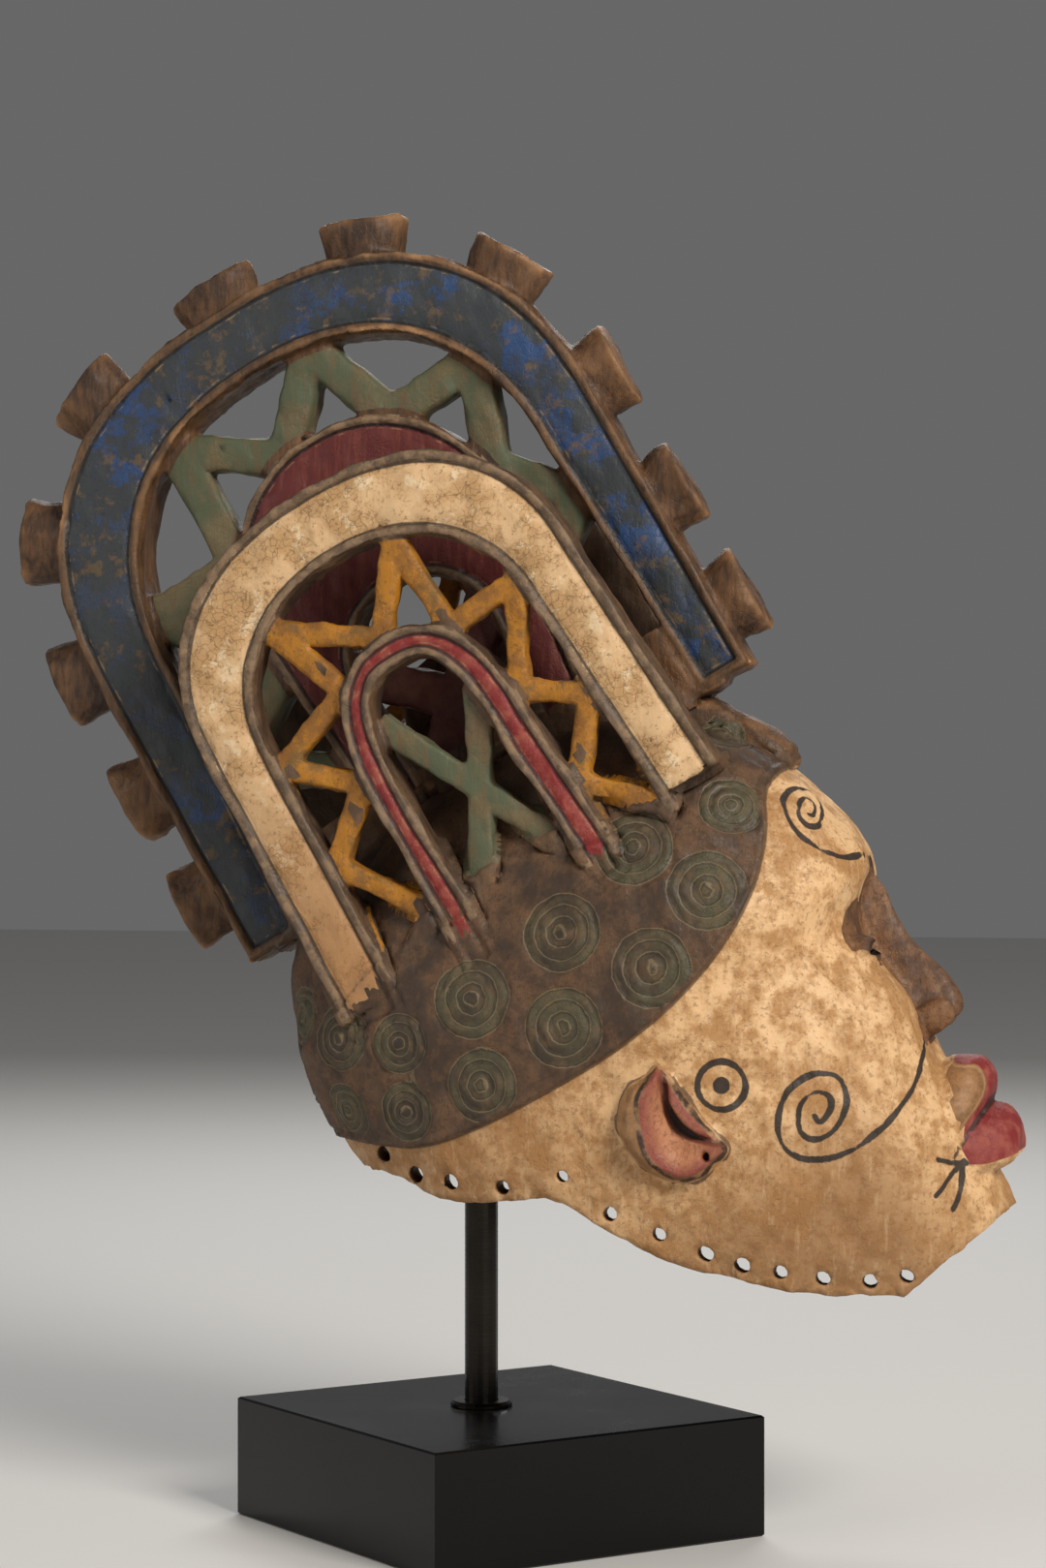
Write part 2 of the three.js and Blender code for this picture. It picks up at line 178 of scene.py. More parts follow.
def volume(obj):
    mesh = obj.data
    mesh.calc_loop_triangles()
    triangles = np.empty(len(mesh.loop_triangles) * 3, int)
    mesh.loop_triangles.foreach_get("vertices", triangles)
    a, b, c = np.moveaxis(coordinates(obj)[triangles].reshape(-1, 3, 3), 1, 0)
    return float(np.einsum("ij,ij->i", a, np.cross(b, c)).sum() / 6)


def solid(name, verts, faces):
    """A closed mesh with its faces turned outwards."""
    obj = new_object(name, verts, [tuple(int(i) for i in face) for face in faces])
    if volume(obj) < 0:
        obj.data.flip_normals()
    return obj


def skinned(name, loops):
    """A closed solid over a stack of loops, whose ends close on their middles."""
    loops = np.asarray(loops, float)
    count, size = loops.shape[:2]
    ends = np.stack([loops[0].mean(axis=0), loops[-1].mean(axis=0)])
    verts = np.vstack([ends, loops.reshape(-1, 3)])
    first = np.arange(2, 2 + count * size).reshape(count, size)
    after = np.roll(first, -1, axis=1)
    faces = [(0, b, a) for a, b in zip(first[0], after[0])]
    for i in range(count - 1):
        faces += list(zip(first[i], after[i], after[i + 1], first[i + 1]))
    faces += [(1, a, b) for a, b in zip(first[-1], after[-1])]
    return solid(name, verts, faces)


def plate(name, outline, y_low, y_high):
    """A side-view outline in x and z, made solid from one y to another."""
    outline = np.asarray(outline, float)
    near = np.column_stack([outline[:, 0], np.full(len(outline), y_low), outline[:, 1]])
    far = near + (0, y_high - y_low, 0)
    count = len(outline)
    faces = [tuple(range(count)), tuple(reversed(range(count, 2 * count)))]
    faces += [(i, i + count, (i + 1) % count + count, (i + 1) % count) for i in range(count)]
    return solid(name, np.vstack([near, far]), faces)


def ellipsoid(name, centre, radii, turn_x=0.0, turn_y=0.0, steps=28):
    polar = np.linspace(0.04, math.pi - 0.04, steps)[:, None]
    around = np.linspace(0, 2 * math.pi, 2 * steps, endpoint=False)[None, :]
    loops = np.stack([
        np.sin(polar) * np.cos(around),
        np.sin(polar) * np.sin(around),
        np.cos(polar) * np.ones_like(around),
    ], axis=-1) * radii
    turn = np.array(Matrix.Rotation(turn_x, 3, "X") @ Matrix.Rotation(turn_y, 3, "Y"))
    return skinned(name, loops @ turn.T + centre)


def settled(obj):
    """Applies the modifiers of an object to its mesh."""
    depsgraph = bpy.context.evaluated_depsgraph_get()
    mesh = bpy.data.meshes.new_from_object(obj.evaluated_get(depsgraph))
    obj.modifiers.clear()
    obj.data = mesh
    return obj


def dropped(*objs):
    for obj in objs:
        bpy.data.objects.remove(obj)


def carved(obj, cutter, operation="DIFFERENCE"):
    modifier = obj.modifiers.new("carve", "BOOLEAN")
    modifier.object = cutter
    modifier.operation = operation
    modifier.solver = "MANIFOLD"
    settled(obj)
    dropped(cutter)
    return obj


print("helpers for solids ready")

# %% [markdown]
# Knife work has few straight lines. A few given points are joined by a smooth curve, and
# the loops of a squarish oval need points that lie evenly around it, or its corners come out
# coarse.

# %% Helpers for curves
def through(points, steps):
    """A smooth line through points, evenly spaced along its length."""
    points = np.asarray(points, float)
    apart = np.linalg.norm(np.diff(points, axis=0), axis=1)
    along = np.concatenate([[0], np.cumsum(apart)])
    return eased(along, points, np.linspace(0, along[-1], steps))


def even_angles(count, power=2.7, reach=115, half=78):
    """Angles whose points lie evenly around a squarish oval."""
    fine = np.linspace(0, 2 * math.pi, 6001)
    cos, sin = np.cos(fine), np.sin(fine)
    x = reach * np.sign(cos) * np.abs(cos) ** (2 / power)
    y = half * np.sign(sin) * np.abs(sin) ** (2 / power)
    along = np.concatenate([[0], np.cumsum(np.hypot(np.diff(x), np.diff(y)))])
    return np.degrees(np.interp(np.linspace(0, along[-1], count, endpoint=False), along, fine))


def soft_step(value, low, high):
    share = np.clip((value - low) / (high - low), 0, 1)
    return share * share * (3 - 2 * share)


print("helpers for curves ready")

# %% [markdown]
# ## The face
#
# Brow hollows leave the cheeks and the nose standing. On the surface of levels they are a
# smooth push inwards, which keeps the brow edge soft as a knife leaves it. The cheeks swell.

# %% The head with its brow hollows and cheeks
CHEEK = {"y": 34, "z": 108, "reach": 19, "rise": 5}
SOCKET = {"x": 124, "y": 25, "z": 137, "depth": 15, "width": 17, "height": 16, "soft": 1.4}


def face_relief(points):
    x, y, z = np.moveaxis(points, -1, 0)
    in_front = x > 20
    far = np.hypot(np.abs(y) - CHEEK["y"], z - CHEEK["z"]) / CHEEK["reach"]
    x = x + np.where(in_front, CHEEK["rise"] * np.exp(-far**2), 0)
    across = ((np.abs(y) - SOCKET["y"]) / SOCKET["width"]) ** 2
    across += ((z - SOCKET["z"]) / SOCKET["height"]) ** 2
    floor = SOCKET["x"] - SOCKET["depth"] * np.sqrt(np.clip(1 - across, 0, 1))
    # A soft minimum rounds the edge of the hollow.
    blend = np.clip(0.5 + 0.5 * (x - floor) / SOCKET["soft"], 0, 1)
    hollowed = x * (1 - blend) + floor * blend - SOCKET["soft"] * blend * (1 - blend)
    x = np.where(in_front & (across < 1), np.minimum(hollowed, x), x)
    return np.stack([x, y, z], axis=-1)


def head_solid(name, offset, columns, rows):
    top = HEAD_TOP + offset
    share = np.linspace(0.0005, 0.9995, rows) ** 1.2
    level = (top + (HEAD_BOTTOM - top) * share)[:, None]
    dome = 5 if offset >= 0 else 14
    closing = np.sqrt(1 - np.clip((level - top + dome) / dome, 0, 1) ** (1 if offset >= 0 else 2))
    loops = on_head(even_angles(columns)[None, :], level, offset, closing)
    return skinned(name, face_relief(loops) if offset >= 0 else loops)


FINE = 1
head = head_solid("head", 0, (160, 320)[FINE], (120, 240)[FINE])
print("head volume", round(volume(head) / 1000), "cm3")

# %% [markdown]
# The nose is a long wedge with flat sides, a straight ridge and small wings. Each level of it is
# a pointed oval. The lips stand out like a small beak, and each is one profile carried from one
# corner of the mouth to the other while it shrinks.

# %% Nose and lips
NOSE_FRONT = np.array([
    (88.2, 112), (90.3, 125.5), (93.5, 130.4), (101, 131.4), (114, 128.5), (128, 124.6),
    (140, 124.2), (152, 125.6), (166, 123),
])
NOSE_BACK = 98
NOSE_WIDTH = {"bridge": 11, "base": 30, "top": 150, "low": 88.2}


def nose_half_width(z):
    low = np.clip((NOSE_WIDTH["top"] - z) / (NOSE_WIDTH["top"] - NOSE_WIDTH["low"]), 0, 1)
    return (NOSE_WIDTH["bridge"] + (NOSE_WIDTH["base"] - NOSE_WIDTH["bridge"]) * low**2) / 2


def nose_solid():
    levels = np.linspace(NOSE_FRONT[0, 0], NOSE_FRONT[-1, 0], 60)
    front = eased(NOSE_FRONT[:, 0], NOSE_FRONT[:, 1:], levels)[:, 0]
    around = np.linspace(-math.pi, math.pi, 64, endpoint=False)
    loops = []
    for z, x_front in zip(levels, front):
        cos = np.cos(around)
        reach = np.where(cos > 0, x_front - NOSE_BACK, 4)
        x = NOSE_BACK + reach * np.sign(cos) * np.abs(cos) ** 1.35
        y = nose_half_width(z) * np.sin(around)
        loops.append(np.column_stack([x, y, np.full(len(x), z)]))
    return skinned("nose", loops)


LIP_HALF = 33
LIP_ROOT = 92
UPPER_LIP = [
    (98, 80), (111, 77.3), (119, 76), (125, 72.5), (127.4, 66), (125.8, 60), (121, 54.8),
    (108, 48), (96, 41), (92, 60), (98, 80),
]
LOWER_LIP = [
    (96, 42), (108, 48), (119, 53.2), (124, 50), (125.8, 44), (124.6, 36.5), (121, 31),
    (112, 29.4), (98, 34), (96, 42),
]


def lip_solid(name, outline, corner_level):
    profile = through(outline, 49)[:-1]
    loops = []
    for share in np.sin(np.linspace(-1, 1, 41) * math.pi / 2 * 0.995):
        out = (1 - abs(share) ** 2.3) ** (1 / 2.3)
        tall = (1 - abs(share) ** 2.6) ** (1 / 2.6)
        x = LIP_ROOT + (profile[:, 0] - LIP_ROOT) * out
        z = corner_level + (profile[:, 1] - corner_level) * tall
        loops.append(np.column_stack([x, np.full(len(x), share * LIP_HALF), z]))
    return skinned(name, loops)


EYE_ASIDE, EYE_LEVEL = 26, 131
features = [
    nose_solid(), lip_solid("upper_lip", UPPER_LIP, 44), lip_solid("lower_lip", LOWER_LIP, 40),
]
for side in (-1, 1):
    features.append(ellipsoid("nose_wing", (118, side * 10.5, 95.5), (8.5, 4.6, 6.6)))
    features.append(ellipsoid("eyelid", (107.5, side * EYE_ASIDE, EYE_LEVEL), (7, 11, 7.5)))
print("face features", len(features))

# %% [markdown]
# An ear is a curled shell with a pink bowl, a leaf-shaped flap in front of it and a deep notch
# between them. That is a height over the side of the head, so it is built as a relief: a fine
# grid whose height comes from how far each point lies inside a few outlines.

# %% Ears
EAR_OUTLINE = [
    (22.6, 134.5), (15, 132), (6, 131), (-1, 126), (-5.5, 119), (-7.2, 111), (-6.4, 103),
    (-2.5, 95), (3.5, 88), (9, 85), (15.5, 84.6), (22, 86), (29.5, 89), (28.6, 97),
    (27, 106), (25.4, 116), (24.3, 125), (22.6, 134.5),
]
EAR_RIM = [
    (22.4, 134), (15.6, 129.7), (8.8, 124.6), (5.4, 119), (2.6, 112), (0.9, 104.3),
    (1.8, 96), (5.4, 89.6), (9.5, 86.9), (15.3, 86.2), (21.4, 87.6), (28.5, 89.4),
]
EAR_NOTCH = [
    (22, 131), (17.2, 122.6), (14, 113), (13.9, 106), (17, 100.6), (22.2, 96.3), (28.8, 91),
    (24.6, 97.4), (21.1, 103.4), (19.2, 109.5), (18.4, 116.5), (21.6, 124.5), (22, 131),
]
# The ridge along the flap stays the colour of the skin; the pink ends at this line.
EAR_PINK_END = [
    (28.6, 89.8), (27.6, 94.7), (25.8, 103.8), (24.0, 112.9), (23.2, 124.1), (22.4, 133),
]
# Height and x of the line where the flap of the ear ends.
FLAP_LINE = ((91, 97.6, 109, 117, 131), (28.2, 23.2, 18.4, 18.2, 21.2))
EAR_LOBE_HOLE = (20.4, 91.9)
EAR_RISE = 11


def distance_to_line(points, line):
    """The distance from each point to the nearest place on a line, in any number of dimensions."""
    best = np.full(len(points), 1e9)
    line = np.asarray(line, float)
    for a, b in zip(line[:-1], line[1:]):
        along = b - a
        share = np.clip(((points - a) @ along) / max(along @ along, 1e-9), 0, 1)
        best = np.minimum(best, np.linalg.norm(points - a - share[:, None] * along, axis=1))
    return best


def depth_in(points, outline):
    """How deep points lie inside a closed outline, negative outside it."""
    outline = np.asarray(outline, float)
    if not np.allclose(outline[0], outline[-1]):
        outline = np.vstack([outline, outline[:1]])
    odd = np.zeros(len(points), bool)
    for (ax, az), (bx, bz) in zip(outline[:-1], outline[1:]):
        crosses = (az > points[:, 1]) != (bz > points[:, 1])
        rise = bz - az if bz != az else 1e-9
        odd ^= crosses & (points[:, 0] < ax + (bx - ax) * (points[:, 1] - az) / rise)
    return np.where(odd, 1, -1) * distance_to_line(points, outline)


def head_side(points):
    """Half the width of the head at side-view points."""
    back, front, half, power = section_at(points[:, 1])
    share = np.clip(np.abs((points[:, 0] - (front + back) / 2) / ((front - back) / 2)), 0, 0.999)
    return half * (1 - share**power) ** (1 / power)


def ear_height(points):
    """Height over the head, the depth in the notch, and the distance in from the rim."""
    inside = depth_in(points, through(EAR_OUTLINE, 90))
    notch = depth_in(points, through(EAR_NOTCH, 90))
    from_rim = distance_to_line(points, through(EAR_RIM, 60))
    behind_rim = depth_in(points, np.vstack([through(EAR_RIM, 60), [(24, 125)]])) < 0
    bowl = EAR_RISE - 0.62 * np.where(behind_rim, 0, from_rim)
    flap = (points[:, 0] > 18.2) & (points[:, 1] > 93) & ~behind_rim
    flap &= points[:, 0] > np.interp(points[:, 1], *FLAP_LINE)
    height = np.where(flap, 2.0 + 0.75 * np.clip(27 - points[:, 0], 0, 8), bowl)
    height = np.minimum(height, EAR_RISE * soft_step(inside, 0, 6.5) ** 0.7)
    height = height * (1 - soft_step(notch, -0.4, 1.2)) + 0.2 * soft_step(notch, -0.4, 1.2)
    hole = np.hypot(points[:, 0] - EAR_LOBE_HOLE[0], points[:, 1] - EAR_LOBE_HOLE[1])
    height = np.where(hole < 2.1, 0.5, height)
    return np.where(inside < 0, -3, height), notch, from_rim


def ear_solid(side):
    xs, zs = np.arange(-10, 32.5, 0.7), np.arange(81, 138.5, 0.7)
    grid = np.stack(np.meshgrid(xs, zs, indexing="ij"), axis=-1).reshape(-1, 2)
    base = head_side(grid)
    top = np.column_stack([grid[:, 0], side * (base + ear_height(grid)[0]), grid[:, 1]])
    root = np.column_stack([grid[:, 0], side * (base - 6), grid[:, 1]])
    index = np.arange(len(grid)).reshape(len(xs), len(zs))
    a, b = index[:-1, :-1].ravel(), index[1:, :-1].ravel()
    c, d = index[1:, 1:].ravel(), index[:-1, 1:].ravel()
    low = len(grid)
    edge = np.concatenate([index[:, 0], index[-1, 1:], index[-2::-1, -1], index[0, -2:0:-1]])
    faces = list(zip(a, b, c, d)) + list(zip(d + low, c + low, b + low, a + low))
    faces += list(zip(edge, edge + low, np.roll(edge, -1) + low, np.roll(edge, -1)))
    return solid("ear", np.vstack([top, root]), faces)


features += [ear_solid(-1), ear_solid(1)]
print("ear stands out", EAR_RISE, "mm")

# %% [markdown]
# ## The crest
#
# Two legs and a rounded head make each arch: the blue, the maroon, the cream and the small red
# one share a formula. The panels are cut right through between them, and struts as thick as a
# thumb are left standing in zigzags and crosses, wider at their roots.

# %% Arches of the crest
CENTRE = {
    "face": 15, "back": -15, "border": 4, "recess": 1.6, "foot": 4,
    "outer": {"cx": 1.5, "half": 123.5, "spring": 388, "top": 502, "power": 2.4,
              "flare": 0, "drift": 0, "feet": (256, 258)},
    "inner": {"cx": 3, "half": 93, "spring": 378, "top": 470.5, "power": 2.3,
              "flare": 5, "drift": 0, "feet": (290, 290)},
}
RED = {
    "face": 12.5, "back": -12.5, "border": 3.5, "recess": 1.5, "foot": 4,
    "outer": {"cx": 10, "half": 62, "spring": 374, "top": 436, "power": 2,
              "flare": -12, "drift": -2, "feet": (262, 262)},
    "inner": {"cx": 9, "half": 32, "spring": 334, "top": 363, "power": 2,
              "flare": -5, "drift": 0, "feet": (284, 284)},
}
SIDE = {
    "face": 62, "back": 46, "border": 4.2, "recess": 1.5, "foot": -6,
    "outer": {"cx": 3.7, "half": 89, "spring": 331, "top": 407.5, "power": 2.29,
              "flare": 4.5, "drift": 2.6, "feet": (210, 226)},
    "inner": {"cx": 3.4, "half": 61.5, "spring": 320, "top": 375.4, "power": 2.12,
              "flare": 4.3, "drift": 2.8, "feet": (210, 219)},
}
SMALL = {
    "face": 64.5, "back": 44.5, "border": 3.6, "recess": 1.5, "foot": -6,
    "outer": {"cx": 5.6, "half": 37.3, "spring": 283.5, "top": 338.4, "power": 2.38,
              "flare": 2.6, "drift": 3.3, "feet": (206, 214)},
    "inner": {"cx": 4.9, "half": 22.9, "spring": 270.5, "top": 325.1, "power": 2.9,
              "flare": 0.9, "drift": 4.3, "feet": (206, 214)},
}


def arch_line(arch, inset=0.0, steps=72, feet=None):
    """One arch outline from the back foot over the head to the front foot."""
    feet = feet or arch["feet"]
    half = arch["half"] - inset
    rise = arch["top"] - inset - arch["spring"]
    angle = np.linspace(math.pi, 0, steps + 1)
    across = np.sign(np.cos(angle)) * np.abs(np.cos(angle)) ** (2 / arch["power"])
    up = np.abs(np.sin(angle)) ** (2 / arch["power"])
    curve = np.column_stack([arch["cx"] + half * across, arch["spring"] + rise * up])
    back_foot = (arch["cx"] - half - arch["flare"] + arch["drift"], feet[0])
    front_foot = (arch["cx"] + half + arch["flare"] + arch["drift"], feet[1])
    return np.vstack([back_foot, curve, front_foot])


def face_outline(band):
    """The painted face of a band, between its borders and above its end mouldings, if any."""
    feet = [z + band["foot"] for z in band["outer"]["feet"]]
    outer = arch_line(band["outer"], band["border"], feet=feet)
    inner = arch_line(band["inner"], -band["border"], feet=feet)
    return np.vstack([outer, inner[::-1]])


def band_solids(name, band, low, high):
    filled = plate(name, arch_line(band["outer"]), low, high)
    return carved(filled, plate("opening", arch_line(band["inner"]), low - 5, high + 5))


def point_along(line, share):
    along = np.concatenate([[0], np.cumsum(np.linalg.norm(np.diff(line, axis=0), axis=1))])
    at = share * along[-1]
    return np.array([np.interp(at, along, line[:, 0]), np.interp(at, along, line[:, 1])])


hand = np.random.default_rng(7)


def strut(start, end, width, thickness, y, flare=0.35):
    """A knife-cut bar between two side-view points, wider at its ends."""
    start, end = np.asarray(start, float), np.asarray(end, float)
    along = (end - start) / np.linalg.norm(end - start)
    aside = np.array([-along[1], along[0]])
    around = np.linspace(0, 2 * math.pi, 16, endpoint=False)
    out = np.sign(np.cos(around)) * np.abs(np.cos(around)) ** 0.32
    deep = np.sign(np.sin(around)) * np.abs(np.sin(around)) ** 0.32
    loops = []
    for share in np.linspace(0, 1, 9):
        spread = (1 + flare * abs(2 * share - 1) ** 3) * hand.uniform(0.965, 1.03)
        slope = hand.uniform(-0.04, 0.04) * width
        place = start - 4 * along + share * (end - start + 8 * along)
        side_view = place + np.outer(out * width / 2 * spread, aside)
        depth = thickness / 2 * (0.94 + 0.08 * abs(2 * share - 1))
        ys = y + deep * depth + slope * out * np.sign(y if y else 1) * 0.5
        loops.append(np.column_stack([side_view[:, 0], ys, side_view[:, 1]]))
    return skinned("strut", loops)


def zigzag(outer, inner, corners, starts_on, bar):
    """Bars whose corners lie on two arches in turn, at shares of the length of each."""
    lines = [arch_line(outer), arch_line(inner)]
    first = ("outer", "inner").index(starts_on)
    spots = [point_along(lines[(i + first) % 2], share) for i, share in enumerate(corners)]
    return [strut(a, b, **bar) for a, b in zip(spots[:-1], spots[1:])]


GREEN_CORNERS = [
    0.105, 0.087, 0.225, 0.243, 0.345, 0.398, 0.465, 0.553, 0.585, 0.708, 0.705, 0.863, 0.825,
]
YELLOW_CORNERS = [
    0.005, 0.08, 0.145, 0.284, 0.262, 0.416, 0.41, 0.508, 0.575, 0.609, 0.718, 0.738, 0.858,
    0.887, 0.995,
]
SILL = [(-110, 256), (112, 256), (112, 290), (-110, 290)]
CENTRE_CROSS = [((-24, 340), (44, 276)), ((44, 340), (-24, 276))]
SIDE_CROSS = [((-13, 305), (35, 217)), ((27, 298), (-15, 222))]


def centre_panel():
    solids = [
        band_solids("blue_arch", CENTRE, -CENTRE["face"], CENTRE["face"]),
        band_solids("maroon_arch", RED, -RED["face"], RED["face"]),
        plate("sill", SILL, -14, 14),
    ]
    bar = {"width": 15.5, "thickness": 19, "y": 0, "flare": 0.28}
    solids += zigzag(CENTRE["inner"], RED["outer"], GREEN_CORNERS, "inner", bar)
    solids += [strut(a, b, 17, 14, 0, 0.2) for a, b in CENTRE_CROSS]
    return solids


def side_panel(side):
    def across(band):
        return sorted((side * band["back"], side * band["face"]))

    solids = [
        band_solids("cream_arch", SIDE, *across(SIDE)),
        band_solids("small_arch", SMALL, *across(SMALL)),
    ]
    bar = {"width": 9, "thickness": 10.5, "y": side * 55, "flare": 0.15}
    solids += zigzag(SIDE["inner"], SMALL["outer"], YELLOW_CORNERS, "outer", bar)
    solids += [strut(a, b, 10.5, 9, side * 54, 0.2) for a, b in SIDE_CROSS]
    return solids


crest = centre_panel() + side_panel(-1) + side_panel(1)
print("crest solids", len(crest))

# %% [markdown]
# Eleven knobs like cotton reels stand on the outer edge. Each was cut with a knife, so it has
# uneven facets, and its rim is wider than its root.

# %% Knobs and the braid over the forehead
KNOB_STEPS = (66, 60, 58, 57, 52)
KNOB = {"root": 17, "rim": 20.5, "front": 14.5, "back": 17.5, "sink": 3, "flatness": 0.68}


def knob(point, outward, height):
    """Loops up the knob: how high, as a share of its height, and how wide."""
    profile = [(-KNOB["sink"] / height, 0.97), (0, 1.01), (0.85, 1.13), (0.96, 1.13), (1, 1.06)]
    around = np.linspace(0, 2 * math.pi, 13, endpoint=False) + hand.uniform(0, 0.5)
    facets = 1 + hand.uniform(-0.045, 0.03, len(around))
    tilt = hand.uniform(-0.035, 0.035)
    side = np.array([outward[1], -outward[0]])
    loops = []
    for share, wide in profile:
        reach = KNOB["root"] * wide * facets
        along = reach * np.cos(around)
        rise = share * height + tilt * along * (share > 0.5)
        spot = point + np.outer(along, side) + np.outer(rise, outward)
        y = KNOB["flatness"] * reach * np.sin(around)
        loops.append(np.column_stack([spot[:, 0], y, spot[:, 1]]))
    return skinned("knob", loops)


def knobs():
    edge = arch_line(CENTRE["outer"], steps=240)
    length = np.linalg.norm(np.diff(edge, axis=0), axis=1).sum()
    along = np.cumsum((0,) + KNOB_STEPS)
    made = []
    for place in sorted(set(along) | set(-along)):
        share = 0.5 + (place + 3) / length
        ahead = point_along(edge, share + 0.004) - point_along(edge, share - 0.004)
        ahead /= np.linalg.norm(ahead)
        outward = np.array([-ahead[1], ahead[0]])
        height = KNOB["back"] if place < 0 else KNOB["front"]
        made.append(knob(point_along(edge, share), outward, height))
    return made


BRAID = [
    (84, 262), (97, 257), (107, 244), (118.5, 224.5), (120.3, 218), (118, 213.5), (100, 213),
    (80, 240), (84, 262),
]


def braid():
    profile = through(BRAID, 41)[:-1]
    middle = profile.mean(axis=0)
    loops = []
    for share in np.sin(np.linspace(-1, 1, 15) * math.pi / 2 * 0.99):
        size = (1 - abs(share) ** 3) ** (1 / 3)
        flat = middle + (profile - middle) * (0.55 + 0.45 * size)
        loops.append(np.column_stack([flat[:, 0], np.full(len(flat), share * 10), flat[:, 1]]))
    return skinned("braid", loops)


crest += knobs() + [braid()]
print("knobs", len(KNOB_STEPS) * 2 + 1)

# %% [markdown]
# ## One piece of wood
#
# The solids become one skin with a voxel remesh, which also rounds every edge by about a
# millimetre, as years of handling do. The hollow, the open lower edge, the eye slits, the
# nostrils and the holes for the costume are cut afterwards, so that they stay crisp.

# %% Join and cut
VOXEL = 1.05


def united(name, objs):
    with bpy.context.temp_override(
        active_object=objs[0], object=objs[0], selected_objects=objs, selected_editable_objects=objs
    ):
        bpy.ops.object.join()
    whole = objs[0]
    whole.name = name
    remesh = whole.modifiers.new("skin", "REMESH")
    remesh.mode = "VOXEL"
    remesh.voxel_size = VOXEL
    soften = whole.modifiers.new("soften", "SMOOTH")
    soften.factor = 0.5
    soften.iterations = 1
    return settled(whole)


RIM_FRONT = [(55, 5), (30, 20.5), (5, 41.5), (-18, 66), (-40, 102.5)]
RIM_BACK = [(-46, 108.5), (-66, 117), (-86, 129), (-101, 147), (-125, 162)]
RIM_HOLES = [
    (-101, 156.5), (-91.5, 142.5), (-78, 133), (-59.5, 121), (-35, 113), (-26, 90.5),
    (-13, 74), (-1.5, 58.5), (8.5, 47.5), (19.5, 37.5), (32.5, 27), (47, 16.5), (60.5, 11),
]
RIM_HOLE_RADIUS = 3
BESIDE_ALL = 120  # farther aside than any part of the carving


def hole_through(x, z, radius):
    around = np.linspace(0, 2 * math.pi, 20, endpoint=False)
    outline = np.column_stack([x + radius * np.cos(around), z + radius * np.sin(around)])
    return plate("hole", outline, -BESIDE_ALL, BESIDE_ALL)


def cutters():
    yield head_solid("hollow", -WALL, (96, 200)[FINE], (60, 140)[FINE])
    edge = np.vstack([through(RIM_FRONT, 24), through(RIM_BACK, 24)])
    below = np.vstack([(150, 20.4), edge, (-170, 168), (-170, -60), (150, -60)])
    yield plate("rim", below, -BESIDE_ALL, BESIDE_ALL)
    for side in (-1, 1):
        eye = (112, side * EYE_ASIDE, EYE_LEVEL)
        yield ellipsoid("eye", eye, (40, 9.5, 2.8), turn_x=-side * 0.12)
        yield ellipsoid("nostril", (121, side * 6.2, 88), (4.2, 2.7, 6), turn_x=side * 0.15)
    for x, z in RIM_HOLES:
        yield hole_through(x, z, RIM_HOLE_RADIUS + hand.uniform(-0.3, 0.3))


mask = united("carving", [head] + features + crest)
print("one skin of", len(mask.data.polygons), "faces")
for cutter in cutters():
    carved(mask, cutter)
print("after the cuts", len(mask.data.polygons), "faces,", round(volume(mask) / 1000), "cm3")

# %% [markdown]
# ## Relief from outlines
#
# Bands with raised borders, the step of the cap, its ringed motifs and the marks of the knife
# are all a push along the surface, worked out for every vertex from its distance to an outline.
# The same distances are used again below to place the paint.

# %% Where things are, as distances
CAP_BORDER = [
    (126, 216), (109, 209), (101.5, 193), (88, 176), (68, 162), (41, 151.5), (11, 146),
    (-26, 145), (-61, 147), (-82, 151.5), (-99, 160.5), (-115, 171), (-131, 179),
]
# Ringed motifs on the cap: angle around the head, height, radius.
RINGS = [
    (88.5, 197.3, 16.3), (79.9, 167, 16.3), (91.2, 163.7, 16.3), (98, 192.2, 16.3),
    (105.8, 159.9, 15), (114.9, 191.5, 12.4), (124.3, 166.3, 12.2), (130.2, 206.4, 13.8),
    (143.2, 179, 12), (150.9, 223.3, 12.2), (46.6, 208.6, 13.4), (64.5, 182.8, 16.3),
    (73.6, 212.5, 16.3), (14.1, 237.4, 12.2), (168, 196, 12.5), (161, 168, 10),
]
FAR = 50.0
NO_RING = 9.0


def folded(points):
    """The left side laid over the right one, since both are painted alike."""
    return points * (1, 0, 1) - np.abs(points) * (0, 1, 0)


def only_where(chosen, measure, points, far=-FAR):
    """Measures only the chosen points; the rest count as far outside."""
    result = np.full(len(points), far)
    if chosen.any():
        result[chosen] = measure(points[chosen])
    return result


def seen_in(outline):
    """A measure of points in space: how deep they lie in an outline seen from the side."""
    return lambda points: depth_in(points[:, [0, 2]], outline)


def band_depth(points, band):
    """Depth in the painted face of a band, for points near that face."""
    outline = face_outline(band)
    low, high = outline.min(axis=0) - 8, outline.max(axis=0) + 8
    side_view = points[:, [0, 2]]
    chosen = np.abs(np.abs(points[:, 1]) - band["face"]) < 3.2
    chosen &= np.all((side_view > low) & (side_view < high), axis=1)
    return only_where(chosen, seen_in(outline), points)


def between_arches(points, outer, inner, y_low, y_high):
    """Depth in the opening between two arches, for points of the struts that stand there."""
    y = np.abs(points[:, 1])
    chosen = (y > y_low) & (y < y_high) & (points[:, 2] > 200)
    inside = only_where(chosen, seen_in(arch_line(outer)), points)
    if inner is None:
        return inside
    return np.minimum(inside, -only_where(chosen, seen_in(arch_line(inner)), points, FAR))


def below_cap(points):
    """How far points lie below the border of the cap, negative on the cap itself."""
    border = through(CAP_BORDER, 70)
    closed = np.vstack([border, (-160, 179), (-160, -60), (160, -60), (160, 216)])
    return depth_in(points[:, [0, 2]], closed)


